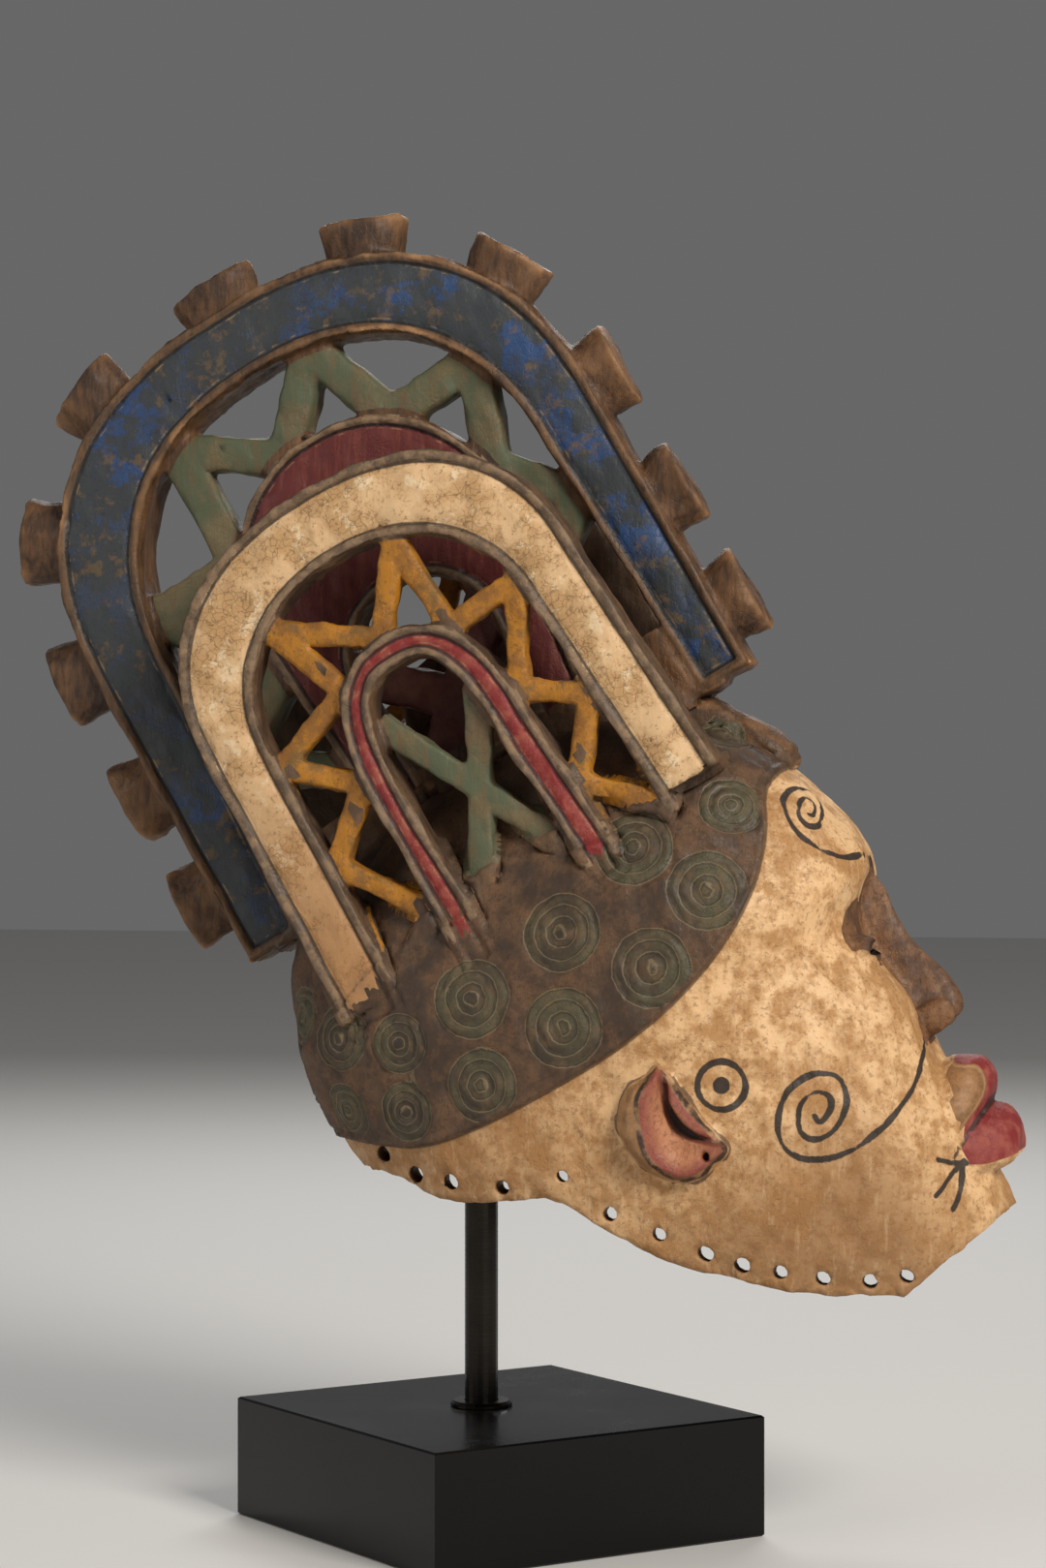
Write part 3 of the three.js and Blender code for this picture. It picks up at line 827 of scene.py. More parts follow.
def nearest_ring(points):
    """Distance to the nearest motif's centre, as a share of its radius."""
    best = np.full(len(points), NO_RING)
    for around, level, radius in RINGS:
        centre = on_head(np.array(around), np.array(level), CAP_RISE)
        best = np.minimum(best, np.linalg.norm(folded(points) - centre, axis=1) / radius)
    return best


print("motifs on each side", len(RINGS))


# %% [markdown]
# No surface cut with an adze and a knife is even. A sum of slow waves in random directions gives
# that unevenness, and small pushes make the mouldings, the grooves and the rings.

# %% Unevenness by hand
def waves(points, size, seed, count=14):
    """Smooth unevenness with lumps of about the given size, between about -1 and 1."""
    random = np.random.default_rng(seed)
    total = np.zeros(len(points))
    for _ in range(count):
        direction = random.normal(size=3)
        direction /= np.linalg.norm(direction) * size * random.uniform(0.6, 1.5)
        total += np.sin(points @ direction * 2 * math.pi + random.uniform(0, 2 * math.pi))
    return total / math.sqrt(count / 2)


def band_push(depth, band):
    """A round moulding, a groove inside it, then a painted face that is slightly crowned."""
    border = band["border"]
    moulding = 0.9 * np.clip((depth + border / 2) / (border / 2), -1, 1) ** 2 * (depth < 0)
    groove = 1.1 * np.exp(-(((depth - 1.0) / 0.9) ** 2))
    sunk = band["recess"] * 0.75 * soft_step(depth, -0.3, 1.0) - 0.55 * soft_step(depth, 1.5, 9)
    return np.where(depth > -border - 0.8, -(sunk + groove + moulding), 0)


def ring_push(share):
    """Three grooves around a small eye."""
    grooves = sum(np.exp(-(((share - at) / 0.052) ** 2)) for at in (0.36, 0.66, 0.95))
    return -1.05 * grooves - 0.5 * np.exp(-((share / 0.12) ** 2))


def relief(points):
    over = height_over_head(points)
    outside = over > -4
    inside = (over < -6) & (points[:, 2] < 268)
    push = 0.34 * waves(points, 22, 1) + 0.22 * waves(points * (1, 1, 0.45), 9, 2)
    push += 0.1 * waves(points * (1, 1, 0.3), 4, 3)
    push = np.where(inside, 1.3 * np.abs(waves(points * (1, 1, 0.6), 24, 4)) - 0.9, push)
    for band in (CENTRE, RED, SIDE, SMALL):
        push += band_push(band_depth(points, band), band)
    on_skin = outside & (over < 6) & (points[:, 2] > 120)
    cap = only_where(on_skin, lambda p: -below_cap(p), points)
    push += np.where(on_skin, CAP_RISE * soft_step(cap, -0.9, 0.9), 0)
    push -= np.where(on_skin, 0.7 * np.exp(-(((cap - 3.6) / 0.8) ** 2)), 0)
    near_cap = on_skin & (cap > 2) & (over < 4.5)
    wobble = 1 + 0.05 * waves(points, 16, 5)
    share = only_where(near_cap, nearest_ring, points, NO_RING) * wobble
    push += np.where(near_cap & (share < 1.2), ring_push(share), 0)
    return push


def pushed(obj):
    points = coordinates(obj)
    normals = coordinates(obj, "normal")
    points = points + normals * relief(points)[:, None]
    obj.data.vertices.foreach_set("co", points.ravel())
    obj.data.update()


pushed(mask)
print("relief pushed into", len(mask.data.vertices), "vertices")

# %% [markdown]
# A mesh this fine is heavy, and most of it is flat. Collapsing edges where nothing bends brings
# it under 200,000 triangles. Where paint lines are drawn it is kept fine, since their edges are
# stored at the vertices.

# %% Painted lines of the face
# Angle around the head and height, along each stroke from its first touch of the brush.
BROW_SPIRAL = [
    (23.3, 190.5), (21.5, 189.4), (17.3, 191.1), (14.4, 194.9), (17.4, 197.2), (24.1, 194.9),
    (27.5, 191.2), (27.1, 186.5), (23.4, 184.6), (16.9, 187.2), (11.5, 191.5), (8.7, 197.3),
    (14, 202), (21.5, 202.6), (28.4, 199.5), (31.5, 194.3), (32.8, 185.9), (28.6, 176.3),
    (21.3, 169.1), (7.1, 166.4),
]
BROW_DASH = [(0.9, 164.1), (0.9, 161.7)]
CHEEK_SPIRAL = [
    (61.6, 84.8), (61.3, 81.7), (59.4, 81.9), (56.5, 85.1), (55.9, 89.3), (58.4, 92.7),
    (62.2, 92), (65.4, 86.4), (66.3, 80.7), (63.9, 76.2), (59.2, 76.1), (53.8, 81),
    (51.1, 86.4), (51.2, 94.1), (57, 99.2), (63.2, 98.6), (67.8, 93.6), (70.3, 87.6),
    (71.2, 79.1), (68.4, 71.4), (61, 66.4), (50.3, 66.7), (36.8, 71.2), (24.1, 78.8), (9.1, 89.9),
]
MOUTH_STROKES = [
    [(34.8, 45.3), (30.3, 41.7), (23.7, 38.3)], [(24.7, 39.8), (34.7, 36.6), (42.4, 33.4)],
    [(26, 38.9), (32.4, 30.7), (39.6, 25.2)],
]
EYE_RING = {"around": 75.2, "level": 113, "radius": 9.4, "dot": 3.4}
LINE_HALF_WIDTH = 1.15


def paint_lines():
    """Every painted line as points on the right side of the head."""
    lines = [through(CHEEK_SPIRAL, 150), through(BROW_SPIRAL, 120), BROW_DASH]
    lines += [through(stroke, 12) for stroke in MOUTH_STROKES]
    placed = []
    for line in lines:
        line = np.asarray(line, float)
        placed.append(face_relief(on_head(line[:, 0], line[:, 1])))
    return placed


def ink_distance(points):
    """Distance to the nearest painted line, less half its width."""
    right = folded(points)
    best = np.full(len(points), FAR)
    width = LINE_HALF_WIDTH * (1 + 0.16 * waves(points, 13, 6))
    for line in paint_lines():
        low, high = line.min(axis=0) - 6, line.max(axis=0) + 6
        chosen = np.all((right > low) & (right < high), axis=1)
        away = only_where(chosen, lambda p: distance_to_line(p, line), right, FAR)
        best = np.minimum(best, away - width)
    centre = on_head(np.array(EYE_RING["around"]), np.array(EYE_RING["level"]))
    away = np.linalg.norm(right - centre, axis=1)
    ring = np.abs(away - EYE_RING["radius"]) - width
    dot = away - EYE_RING["dot"]
    return np.minimum(best, np.minimum(ring, dot))


print("painted lines", len(paint_lines()))

# %% Fewer triangles
MOST_TRIANGLES = 190000
KEPT_FINE = 2.2  # millimetres beside a painted line


def slimmed(obj, most):
    triangles = sum(len(p.vertices) - 2 for p in obj.data.polygons)
    if triangles <= most:
        return
    fine = ink_distance(coordinates(obj)) < KEPT_FINE
    group = obj.vertex_groups.new(name="keep_fine")
    group.add([int(i) for i in np.flatnonzero(~fine)], 1.0, "REPLACE")
    collapse = obj.modifiers.new("collapse", "DECIMATE")
    collapse.ratio = most / triangles
    collapse.use_collapse_triangulate = True
    collapse.vertex_group = group.name
    collapse.vertex_group_factor = 1.0
    settled(obj)
    obj.vertex_groups.clear()


slimmed(mask, MOST_TRIANGLES)
print("slimmed to", len(mask.data.polygons), "triangles")

# %% [markdown]
# ## What the paint needs to know
#
# The shader can't tell a border from a painted face. So each vertex stores how deep it lies in
# each painted area, in millimetres. The shader cuts these at zero, with a little noise for the
# brush. It also stores how sharply the surface bends, for worn edges with a painted highlight
# and for painted shade and dirt in corners.

# %% Store distances on the vertices
def stored(obj, name, values):
    attribute = obj.data.attributes.new(name, "FLOAT", "POINT")
    attribute.data.foreach_set("value", np.asarray(values, np.float32))


def neighbour_mean(edges, values, count):
    total = np.zeros_like(values)
    degree = np.bincount(edges.ravel(), minlength=count).astype(float)
    for a, b in ((0, 1), (1, 0)):
        for axis in range(values.shape[1]):
            total[:, axis] += np.bincount(edges[:, a], values[edges[:, b], axis], minlength=count)
    return total / np.maximum(degree, 1)[:, None]


def bending(obj, rounds=3):
    """Positive on outer edges, negative in corners, about from -1 to 1."""
    points = coordinates(obj)
    normals = coordinates(obj, "normal")
    edges = np.empty(len(obj.data.edges) * 2, int)
    obj.data.edges.foreach_get("vertices", edges)
    edges = edges.reshape(-1, 2)
    mean = neighbour_mean(edges, points, len(points))
    length = np.linalg.norm(points[edges[:, 0]] - points[edges[:, 1]], axis=1)
    size = np.bincount(edges.ravel(), np.repeat(length, 2), minlength=len(points))
    size /= np.maximum(np.bincount(edges.ravel(), minlength=len(points)), 1)
    bend = np.einsum("ij,ij->i", points - mean, normals) / np.maximum(size, 0.2) ** 2
    for _ in range(rounds):
        bend = 0.4 * bend + 0.6 * neighbour_mean(edges, bend[:, None], len(points))[:, 0]
    return np.clip(bend * 3.2, -1, 1)


LOWER_RED = [
    (99, 42.5), (108, 47.5), (119, 53), (130, 56), (134, 44), (130, 30), (118, 31.5), (108, 34),
    (101, 38),
]
LIP_PARTING = [
    (94, 41.6), (108, 49.2), (121, 56.2), (129, 58.5), (130, 54.5), (121, 53), (108, 46.6),
    (95, 39.4),
]


def lip_depth(points, outline):
    chosen = (points[:, 0] > 93) & (np.abs(points[:, 1]) < LIP_HALF + 2)
    chosen &= (points[:, 2] > 26) & (points[:, 2] < 84)
    return only_where(chosen, seen_in(outline), points)


def lip_front(points, over):
    """How far inside the red front edge of the upper lip points lie, in side view."""
    edge = through(UPPER_LIP[2:9], 50)
    near = (points[:, 0] > 100) & (points[:, 2] > 40) & (points[:, 2] < 84) & (over > 1)
    return only_where(near, lambda p: 3.0 - distance_to_line(p[:, [0, 2]], edge), points)


def nose_depth(points):
    """Depth in the brown of the nose, which runs out into the brow hollows."""
    aside, level = np.abs(points[:, 1]), points[:, 2]
    brow_root = 5 * np.exp(-(((level - 150) / 9) ** 2))
    wing = 3.5 * soft_step(-level, -108, -98)
    edge = nose_half_width(level) + 2.2 + brow_root + wing - aside
    end = np.minimum((166 - level) * 0.8, (level - 86.4) * 0.8)
    socket = 1 - ((aside - 21) / 17) ** 2 - ((level - 138) / 15) ** 2
    brown = np.maximum(np.minimum(edge, end), socket * 9 - 0.5)
    return np.where((level > 85) & (level < 168) & (points[:, 0] > 100), brown, -FAR)


def ear_zones(points, over):
    x, aside, level = points[:, 0], np.abs(points[:, 1]), points[:, 2]
    near = (aside > 62) & (over > -1.5)
    near &= (x > -12) & (x < 34) & (level > 80) & (level < 140)
    bowl = np.vstack([through(EAR_RIM, 60), EAR_PINK_END])
    return {
        "ear": only_where(near & (over > 1), seen_in(bowl), points) - 1.2,
        "ear_shell": only_where(near & (over > 0.3), seen_in(through(EAR_OUTLINE, 90)), points),
        "ear_notch": only_where(near, seen_in(through(EAR_NOTCH, 90)), points),
    }


def shade(points):
    """Painted shade: darker on the nape, under the jaw and on the low back legs of the crest, away from
    the light.
    """
    back, down = -points[:, 0], -points[:, 2]
    nape = soft_step(back, -60, 95)
    jaw = soft_step(down, -112, -45) * soft_step(back, -104, -62)
    leg = soft_step(down, -350, -225) * soft_step(back, 10, 60)
    return np.where(points[:, 2] > 200, leg, np.maximum(0.8 * nape, jaw))


def zones_of(obj):
    points = coordinates(obj)
    level = points[:, 2]
    over = height_over_head(points)
    outside, crest = over > -4, over > 4.5
    on_head_only = outside & ((level < 204) | (over < 2.2)) & (level < 268)
    under_cap = only_where(outside & (level < 276), below_cap, points)
    cap = np.where(outside & (over < 4.4), -under_cap, -FAR)
    green = np.maximum(
        between_arches(points, CENTRE["inner"], RED["outer"], -1, 10.8),
        between_arches(points, SMALL["inner"], None, 45, 59.5))
    yellow = between_arches(points, SIDE["inner"], SMALL["outer"], 48, 61)
    eyes = np.hypot((np.abs(points[:, 1]) - EYE_ASIDE) / 10, (level - EYE_LEVEL) / 3.6)
    return {
        "blue": band_depth(points, CENTRE),
        "maroon": band_depth(points, RED),
        "cream": band_depth(points, SIDE),
        "scarlet": band_depth(points, SMALL),
        "green": np.where(crest | (level > 272), green, -FAR),
        "yellow": np.where(crest, yellow, -FAR),
        "deep_cross": between_arches(points, RED["inner"], None, -1, 9.5),
        "skin": np.where(on_head_only, under_cap, -FAR),
        "cap": cap,
        "ring": np.where(cap > 1.2, nearest_ring(points), NO_RING),
        "inside": np.where((over < -5.5) & (level < 268), 1.0, 0.0),
        "lip_front": lip_front(points, over),
        "lower_lip": np.where(over > 0.4, lip_depth(points, LOWER_RED), -FAR),
        "upper_lip": np.where(over > 1.5, lip_depth(points, through(UPPER_LIP, 60)) + 1, -FAR),
        "parting": lip_depth(points, LIP_PARTING),
        "eye": np.where(outside & (points[:, 0] > 90), eyes, 9),
        "nose": np.where(outside, nose_depth(points), -FAR),
        "ink": ink_distance(points),
        "shade": shade(points),
        "bend": bending(obj),
        **ear_zones(points, over),
    }


zones = zones_of(mask)
for name, values in zones.items():
    stored(mask, name, values)
print("zones stored:", list(zones))

# %% [markdown]
# The carving is done upright, so now the matrix from the start leans it back. Then it takes the
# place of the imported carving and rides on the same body.

# %% Lean the carving back
mask.data.transform(UPRIGHT_TO_ROW)
for polygon in mask.data.polygons:
    polygon.use_smooth = True
mask.data.update()
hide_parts("mask")
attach(mask, "root")
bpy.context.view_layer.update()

# %% [markdown]
# ## Shader groups
#
# Three effects of old painted wood are node groups: a coat of paint that is cut by a distance
# and chipped by noise, the bare wood under it, and fine cracks. They put out colours, masks and
# values only; the surface shader itself stays in the material.

# %% A small kit for node trees
def linear(red, green, blue):
    """A colour given as it looks on a screen, from 0 to 255, as linear light."""
    shares = [value / 255 for value in (red, green, blue)]
    light = [s / 12.92 if s <= 0.04045 else ((s + 0.055) / 1.055) ** 2.4 for s in shares]
    return (*light, 1.0)


class Nodes:
    """Adds nodes to a tree and joins them, so that a recipe reads from top to bottom."""

    def __init__(self, tree):
        self.tree = tree

    def feed(self, socket, value):
        """Links a socket or sets a value; three numbers on a colour socket are screen values."""
        if isinstance(value, bpy.types.NodeSocket):
            self.tree.links.new(value, socket)
        elif socket.type == "RGBA" and len(value) == 3:
            socket.default_value = linear(*value)
        else:
            socket.default_value = value

    def add(self, kind, settings=None, **inputs):
        node = self.tree.nodes.new(kind)
        for name, value in (settings or {}).items():
            setattr(node, name, value)
        for name, value in inputs.items():
            self.feed(node.inputs[name.replace("_", " ")], value)
        return node

    def math(self, operation, a, b=0.0):
        node = self.add("ShaderNodeMath", {"operation": operation})
        self.feed(node.inputs[0], a)
        self.feed(node.inputs[1], b)
        return node.outputs[0]

    def times(self, a, b):
        return self.math("MULTIPLY", a, b)

    def plus(self, a, b):
        return self.math("ADD", a, b)

    def ramp(self, value, low, high, to_low=0.0, to_high=1.0):
        return self.add(
            "ShaderNodeMapRange", {"interpolation_type": "SMOOTHSTEP"}, Value=value, From_Min=low,
            From_Max=high, To_Min=to_low, To_Max=to_high).outputs[0]

    def between(self, value, low, high, soft):
        """One between two values, falling to zero at both sides."""
        rise = self.ramp(value, low - soft, low + soft)
        return self.times(rise, self.ramp(value, high - soft, high + soft, 1.0, 0.0))

    def mix(self, share, a, b):
        node = self.add("ShaderNodeMix", {"data_type": "RGBA"})
        for socket, value in ((0, share), (6, a), (7, b)):
            self.feed(node.inputs[socket], value)
        return node.outputs[2]

    def noise(self, vector, scale, detail=4.0, roughness=0.55, distortion=0.0):
        return self.add(
            "ShaderNodeTexNoise", Vector=vector, Scale=scale, Detail=detail,
            Roughness=roughness, Distortion=distortion).outputs[0]

    def stretched(self, vector, lean, scale):
        return self.add(
            "ShaderNodeMapping", Vector=vector, Rotation=(0, lean, 0), Scale=scale).outputs[0]

    def stored(self, name):
        return self.add("ShaderNodeAttribute", {"attribute_name": name}).outputs["Fac"]

    def use(self, group, **inputs):
        return self.add("ShaderNodeGroup", {"node_tree": group}, **inputs)


FLOAT, COLOR, VECTOR = "NodeSocketFloat", "NodeSocketColor", "NodeSocketVector"


def new_group(name, inputs, outputs):
    """A shader node group with named sockets: the group, its nodes, what comes in and goes out."""
    group = bpy.data.node_groups.new(name, "ShaderNodeTree")
    for direction, sockets in (("INPUT", inputs), ("OUTPUT", outputs)):
        for socket, kind in sockets.items():
            group.interface.new_socket(socket, in_out=direction, socket_type=kind)
    given = group.nodes.new("NodeGroupInput").outputs
    return group, Nodes(group), given, group.nodes.new("NodeGroupOutput").inputs


print("node kit ready")


# %% Groups: paint that chips, old wood, crackle
def paint_group():
    """A mask of paint: whole deep inside its area, ragged at its edge, rubbed off where worn."""
    group, n, given, out = new_group(
        "brushed paint",
        {"Depth": FLOAT, "Bend": FLOAT, "Chips": FLOAT, "Grit": FLOAT, "Wear": FLOAT, "Ragged": FLOAT},
        {"Mask": FLOAT})
    ragged = n.times(n.math("SUBTRACT", given["Chips"], 0.5), given["Ragged"])
    edge = n.ramp(n.plus(given["Depth"], n.times(ragged, 4.0)), -0.15, 0.35)
    noise = n.plus(n.times(given["Chips"], 0.7), n.times(given["Grit"], 0.3))
    rubbed = n.times(n.math("MAXIMUM", given["Bend"], 0.0), 0.32)
    worn = n.plus(n.plus(rubbed, given["Wear"]), n.math("SUBTRACT", noise, 0.5))
    n.feed(out["Mask"], n.times(edge, n.ramp(worn, 0.36, 0.46, 1.0, 0.0)))
    return group


def wood_group():
    """Bare old wood: long soft grain, dark pores, and edges lightened partly by rubbing and partly as a
    painted highlight.
    """
    group, n, given, out = new_group(
        "old wood",
        {"Vector": VECTOR, "Bend": FLOAT, "Dark": COLOR, "Middle": COLOR, "Light": COLOR},
        {"Color": COLOR, "Height": FLOAT})
    grain = n.noise(n.stretched(given["Vector"], -LEAN, (1.0, 1.0, 0.16)), 420.0, 3.0, 0.6, 0.4)
    blotch = n.noise(given["Vector"], 38.0, 3.0, 0.6)
    tone = n.plus(n.times(grain, 0.5), n.times(blotch, 0.5))
    colour = n.mix(n.ramp(tone, 0.32, 0.68), given["Dark"], given["Middle"])
    # Lighter on convex edges: worn by rubbing, and partly a painted highlight.
    rub_and_highlight = n.ramp(n.plus(given["Bend"], n.times(blotch, 0.5)), 0.28, 0.8)
    n.feed(out["Color"], n.mix(rub_and_highlight, colour, given["Light"]))
    n.feed(out["Height"], grain)
    return group


def crackle_group():
    """Fine bent cracks in a brittle coat, as a mask that breaks off where Broken is low."""
    group, n, given, out = new_group(
        "crackle",
        {"Vector": VECTOR, "Broken": FLOAT, "Scale": FLOAT, "Amount": FLOAT},
        {"Mask": FLOAT})
    shaken = n.add("ShaderNodeTexNoise", Vector=given["Vector"], Scale=170.0, Detail=3.0)
    bent = n.add("ShaderNodeVectorMath", {"operation": "MULTIPLY_ADD"})
    for socket, value in enumerate((shaken.outputs["Color"], (0.008, 0.008, 0.008), given["Vector"])):
        n.feed(bent.inputs[socket], value)
    cell = n.add(
        "ShaderNodeTexVoronoi", {"feature": "DISTANCE_TO_EDGE"}, Vector=bent.outputs[0],
        Scale=given["Scale"]).outputs["Distance"]
    line = n.times(n.ramp(cell, 0.0, 0.07, 1.0, 0.0), n.ramp(given["Broken"], 0.42, 0.56))
    n.feed(out["Mask"], n.times(line, given["Amount"]))
    return group


PAINT, WOOD, CRACKLE = paint_group(), wood_group(), crackle_group()
print("groups:", [g.name for g in bpy.data.node_groups])

# %% [markdown]
# ## The painted carving
#
# Old mineral paint lies over dark wood in thin coats. Each colour starts from the wood and is
# laid over it with its own mask, so bare wood shows wherever the paint has gone. The colours
# are those of the real one: cobalt gone grey, kaolin cream, ochre, maroon, a grey green.
#
# A brush never leaves a flat colour. So every coat is two tones that cloud into each other, with
# flecks of others over them, and all coats share five kinds of unevenness.

# %% Coats of paint
def new_material(name):
    material = bpy.data.materials.new(name)
    material.use_nodes = True
    tree = material.node_tree
    tree.nodes.clear()
    n = Nodes(tree)
    surface = n.add("ShaderNodeBsdfPrincipled")
    output = n.add("ShaderNodeOutputMaterial")
    tree.links.new(surface.outputs[0], output.inputs["Surface"])
    place = n.add("ShaderNodeTexCoord").outputs["Object"]
    return material, n, surface, place


class Painting:
    """The colour of the carving, built up coat by coat over bare wood."""

    def __init__(self, n, place):
        self.n, self.place = n, place
        self.bend, self.shade = n.stored("bend"), n.stored("shade")
        # From broad clouds to grit, and brush streaks along the grain.
        self.cloud = n.noise(place, 26.0, 4.0, 0.6)
        self.drift = n.noise(place, 52.0, 4.0, 0.65)
        self.patch = n.noise(place, 110.0, 5.0, 0.68)
        self.grit = n.noise(place, 480.0, 3.0, 0.65)
        self.streak = n.noise(n.stretched(place, 0.45, (1.0, 1.0, 0.12)), 330.0, 3.0, 0.6)
        # The Light colour of the wood is for its edges, rubbed and partly a painted highlight.
        self.wood = n.use(WOOD, Vector=place, Bend=self.bend, Dark=(46, 29, 18),
                          Middle=(108, 74, 43), Light=(170, 125, 82))
        self.crack = n.use(
            CRACKLE, Vector=place, Broken=self.drift, Scale=270.0, Amount=0.5).outputs["Mask"]
        self.trim = self.clouded(self.patch, 0.4, 0.62, (94, 76, 58), (150, 124, 96))
        self.colour = self.wood.outputs["Color"]

    def flecked(self, colour, *flecks):
        """Each fleck is given by a noise, where it begins and is full, how much, its colour."""
        n = self.n
        for by, low, high, share, fleck in flecks:
            colour = n.mix(n.times(n.ramp(by, low, high), share), colour, fleck)
        return colour

    def clouded(self, by, low, high, first, second, *flecks):
        """Two tones that run into each other by a noise, with flecks over them."""
        return self.flecked(self.n.mix(self.n.ramp(by, low, high), first, second), *flecks)

    def coat(self, depth, wear, ragged=0.5, chips=None):
        return self.n.use(
            PAINT, Depth=depth, Bend=self.bend, Chips=chips or self.patch, Grit=self.grit,
            Wear=wear, Ragged=ragged).outputs["Mask"]

    def over(self, mask, colour):
        self.colour = self.n.mix(mask, self.colour, colour)


print("paint mixed in", len(bpy.data.node_groups), "groups")


# %% [markdown]
# The arches are bands of paint between raised mouldings. The groove inside each moulding is
# darkened with painted shade and dirt, with a chipped light line beside it. The struts were
# painted with less care, so their roots stay brown. The depths stored above tell the shader where
# each of these lies.

# %% The crest: bands and struts
def paint_band(p, zone, wear, paint, edge=0.7):
    """A groove inside the moulding darkened with painted shade and dirt, and a chipped light line
    beside it.
    """
    n, depth = p.n, p.n.stored(zone)
    p.over(n.ramp(depth, -4.4, -3.6, 0.0, edge), p.trim)
    p.over(n.ramp(depth, -0.6, 0.1), p.clouded(p.cloud, 0.35, 0.6, (58, 42, 30), (112, 86, 60)))
    p.over(p.coat(depth, wear), paint)
    chipped = n.times(n.between(depth, 1.7, 2.2, 0.35), n.ramp(p.patch, 0.5, 0.6))
    p.over(n.times(chipped, 0.5), (168, 142, 110))
    # Painted shade and dirt: a dark line in the groove inside the moulding.
    p.over(n.times(n.between(depth, 0.0, 1.2, 0.35), 0.88), (22, 15, 12))


def paint_struts(p, zone, root, wear, paint):
    """Bars are brown again at their roots."""
    depth = p.n.math("SUBTRACT", p.n.stored(zone), root)
    p.over(p.coat(depth, wear, 1.3, p.drift), paint)


def paint_crest(p):
    n = p.n
    split = n.add("ShaderNodeSeparateXYZ", Vector=p.place)
    beside = n.ramp(n.math("ABSOLUTE", split.outputs["Y"]), 0.042, 0.044)
    grey = p.clouded(p.drift, 0.38, 0.66, (58, 45, 35), (106, 84, 62))
    p.over(beside, n.mix(0.55, p.colour, grey))
    paint_band(p, "blue", 0.08, p.clouded(
        p.drift, 0.5, 0.6, (50, 54, 58), (36, 66, 110), (p.cloud, 0.5, 0.62, 0.75, (50, 52, 52)),
        (p.patch, 0.54, 0.66, 0.7, (104, 84, 58)), (p.grit, 0.55, 0.7, 0.35, (24, 30, 42))), 0.15)
    paint_band(p, "maroon", 0.06, p.clouded(p.streak, 0.46, 0.66, (92, 30, 27), (110, 48, 38)))
    cream = p.clouded(
        p.drift, 0.38, 0.62, (214, 178, 134), (186, 146, 98),
        (p.patch, 0.55, 0.66, 0.8, (226, 202, 166)), (p.grit, 0.56, 0.68, 0.6, (124, 88, 54)))
    # Painted shade: the cream darkens towards the foot of the back leg.
    cream = n.mix(n.times(p.shade, 0.85), cream, (158, 112, 66))
    paint_band(p, "cream", 0.02, n.mix(p.crack, cream, (92, 64, 40)))
    paint_band(p, "scarlet", 0.04, p.clouded(p.patch, 0.42, 0.64, (124, 32, 30), (150, 72, 58)))
    paint_struts(p, "green", 3.0, 0.12, p.clouded(
        p.drift, 0.42, 0.62, (80, 86, 62), (104, 92, 64), (p.streak, 0.5, 0.7, 0.75, (104, 80, 54))))
    paint_struts(p, "yellow", 0.8, 0.04, p.clouded(
        p.patch, 0.42, 0.62, (170, 112, 22), (134, 88, 32),
        (p.drift, 0.55, 0.66, 0.8, (112, 84, 40)), (p.grit, 0.56, 0.68, 0.5, (84, 56, 24))))
    paint_struts(p, "deep_cross", 1.0, 0.04, p.clouded(
        p.drift, 0.4, 0.7, (76, 27, 24), (98, 54, 40)))


print("crest paint ready")

# %% [markdown]
# The skin is cream over ochre, with painted shade towards the nape and under the jaw. The cap is brown,
# with faded green discs between scratched rings. Ears, nose and lips are small areas inside carved
# edges, so each is cut by a distance of its own, most of them with a dark line of painted shade
# where the knife went in.

# %% The head: skin, cap, ears, nose and lips
def paint_skin(p):
    """Cream over ochre, with pale chips, painted shade towards the nape and jaw, and a painted shadow
    line under the edge of the cap.
    """
    n, face = p.n, p.n.stored("skin")
    mottle = n.plus(n.times(p.drift, 0.45), n.times(p.patch, 0.55))
    skin = p.clouded(mottle, 0.42, 0.58, (224, 183, 134), (178, 132, 82))
    # Painted shade: the skin darkens towards the nape and under the jaw.
    skin = n.mix(n.times(p.shade, 0.8), skin, (142, 101, 60))
    skin = p.flecked(
        skin, (p.cloud, 0.5, 0.64, 0.5, (170, 123, 73)), (p.streak, 0.54, 0.7, 0.2, (236, 206, 164)),
        (p.grit, 0.52, 0.66, 0.6, (142, 100, 60)))
    p.over(n.ramp(face, -0.3, 0.2), (116, 82, 52))
    p.over(p.coat(n.plus(face, 0.2), -0.08, 0.12), skin)
    # Painted shadow: a dark line just below the raised edge of the cap.
    p.over(n.times(n.between(face, -0.2, 1.0, 0.4), 0.8), (48, 32, 20))


def paint_cap(p):
    """Brown, with faded green motifs between scratched rings."""
    n = p.n
    cap = p.clouded(
        p.drift, 0.38, 0.64, (62, 45, 31), (98, 70, 46), (p.patch, 0.5, 0.66, 0.5, (112, 80, 56)),
        (p.grit, 0.48, 0.68, 0.45, (46, 34, 26)))
    ring = n.plus(n.stored("ring"), n.times(n.math("SUBTRACT", p.patch, 0.5), 0.14))
    disc = n.times(n.ramp(ring, 0.96, 1.02, 1.0, 0.0), n.ramp(p.drift, 0.38, 0.6, 0.2, 0.75))
    cap = n.mix(disc, cap, p.clouded(p.patch, 0.42, 0.62, (62, 66, 46), (88, 82, 58)))
    # Dark lines of painted shade and dirt in the ring grooves, each with a light line beside it.
    for at in (0.2, 0.4, 0.7, 0.98):
        dark = n.times(n.between(ring, at - 0.05, at - 0.015, 0.02), 0.5)
        light = n.times(n.between(ring, at, at + 0.015, 0.016), 0.6)
        cap = n.mix(light, n.mix(dark, cap, (36, 30, 22)), (150, 130, 96))
    p.over(n.ramp(n.stored("cap"), -0.35, 0.1), cap)


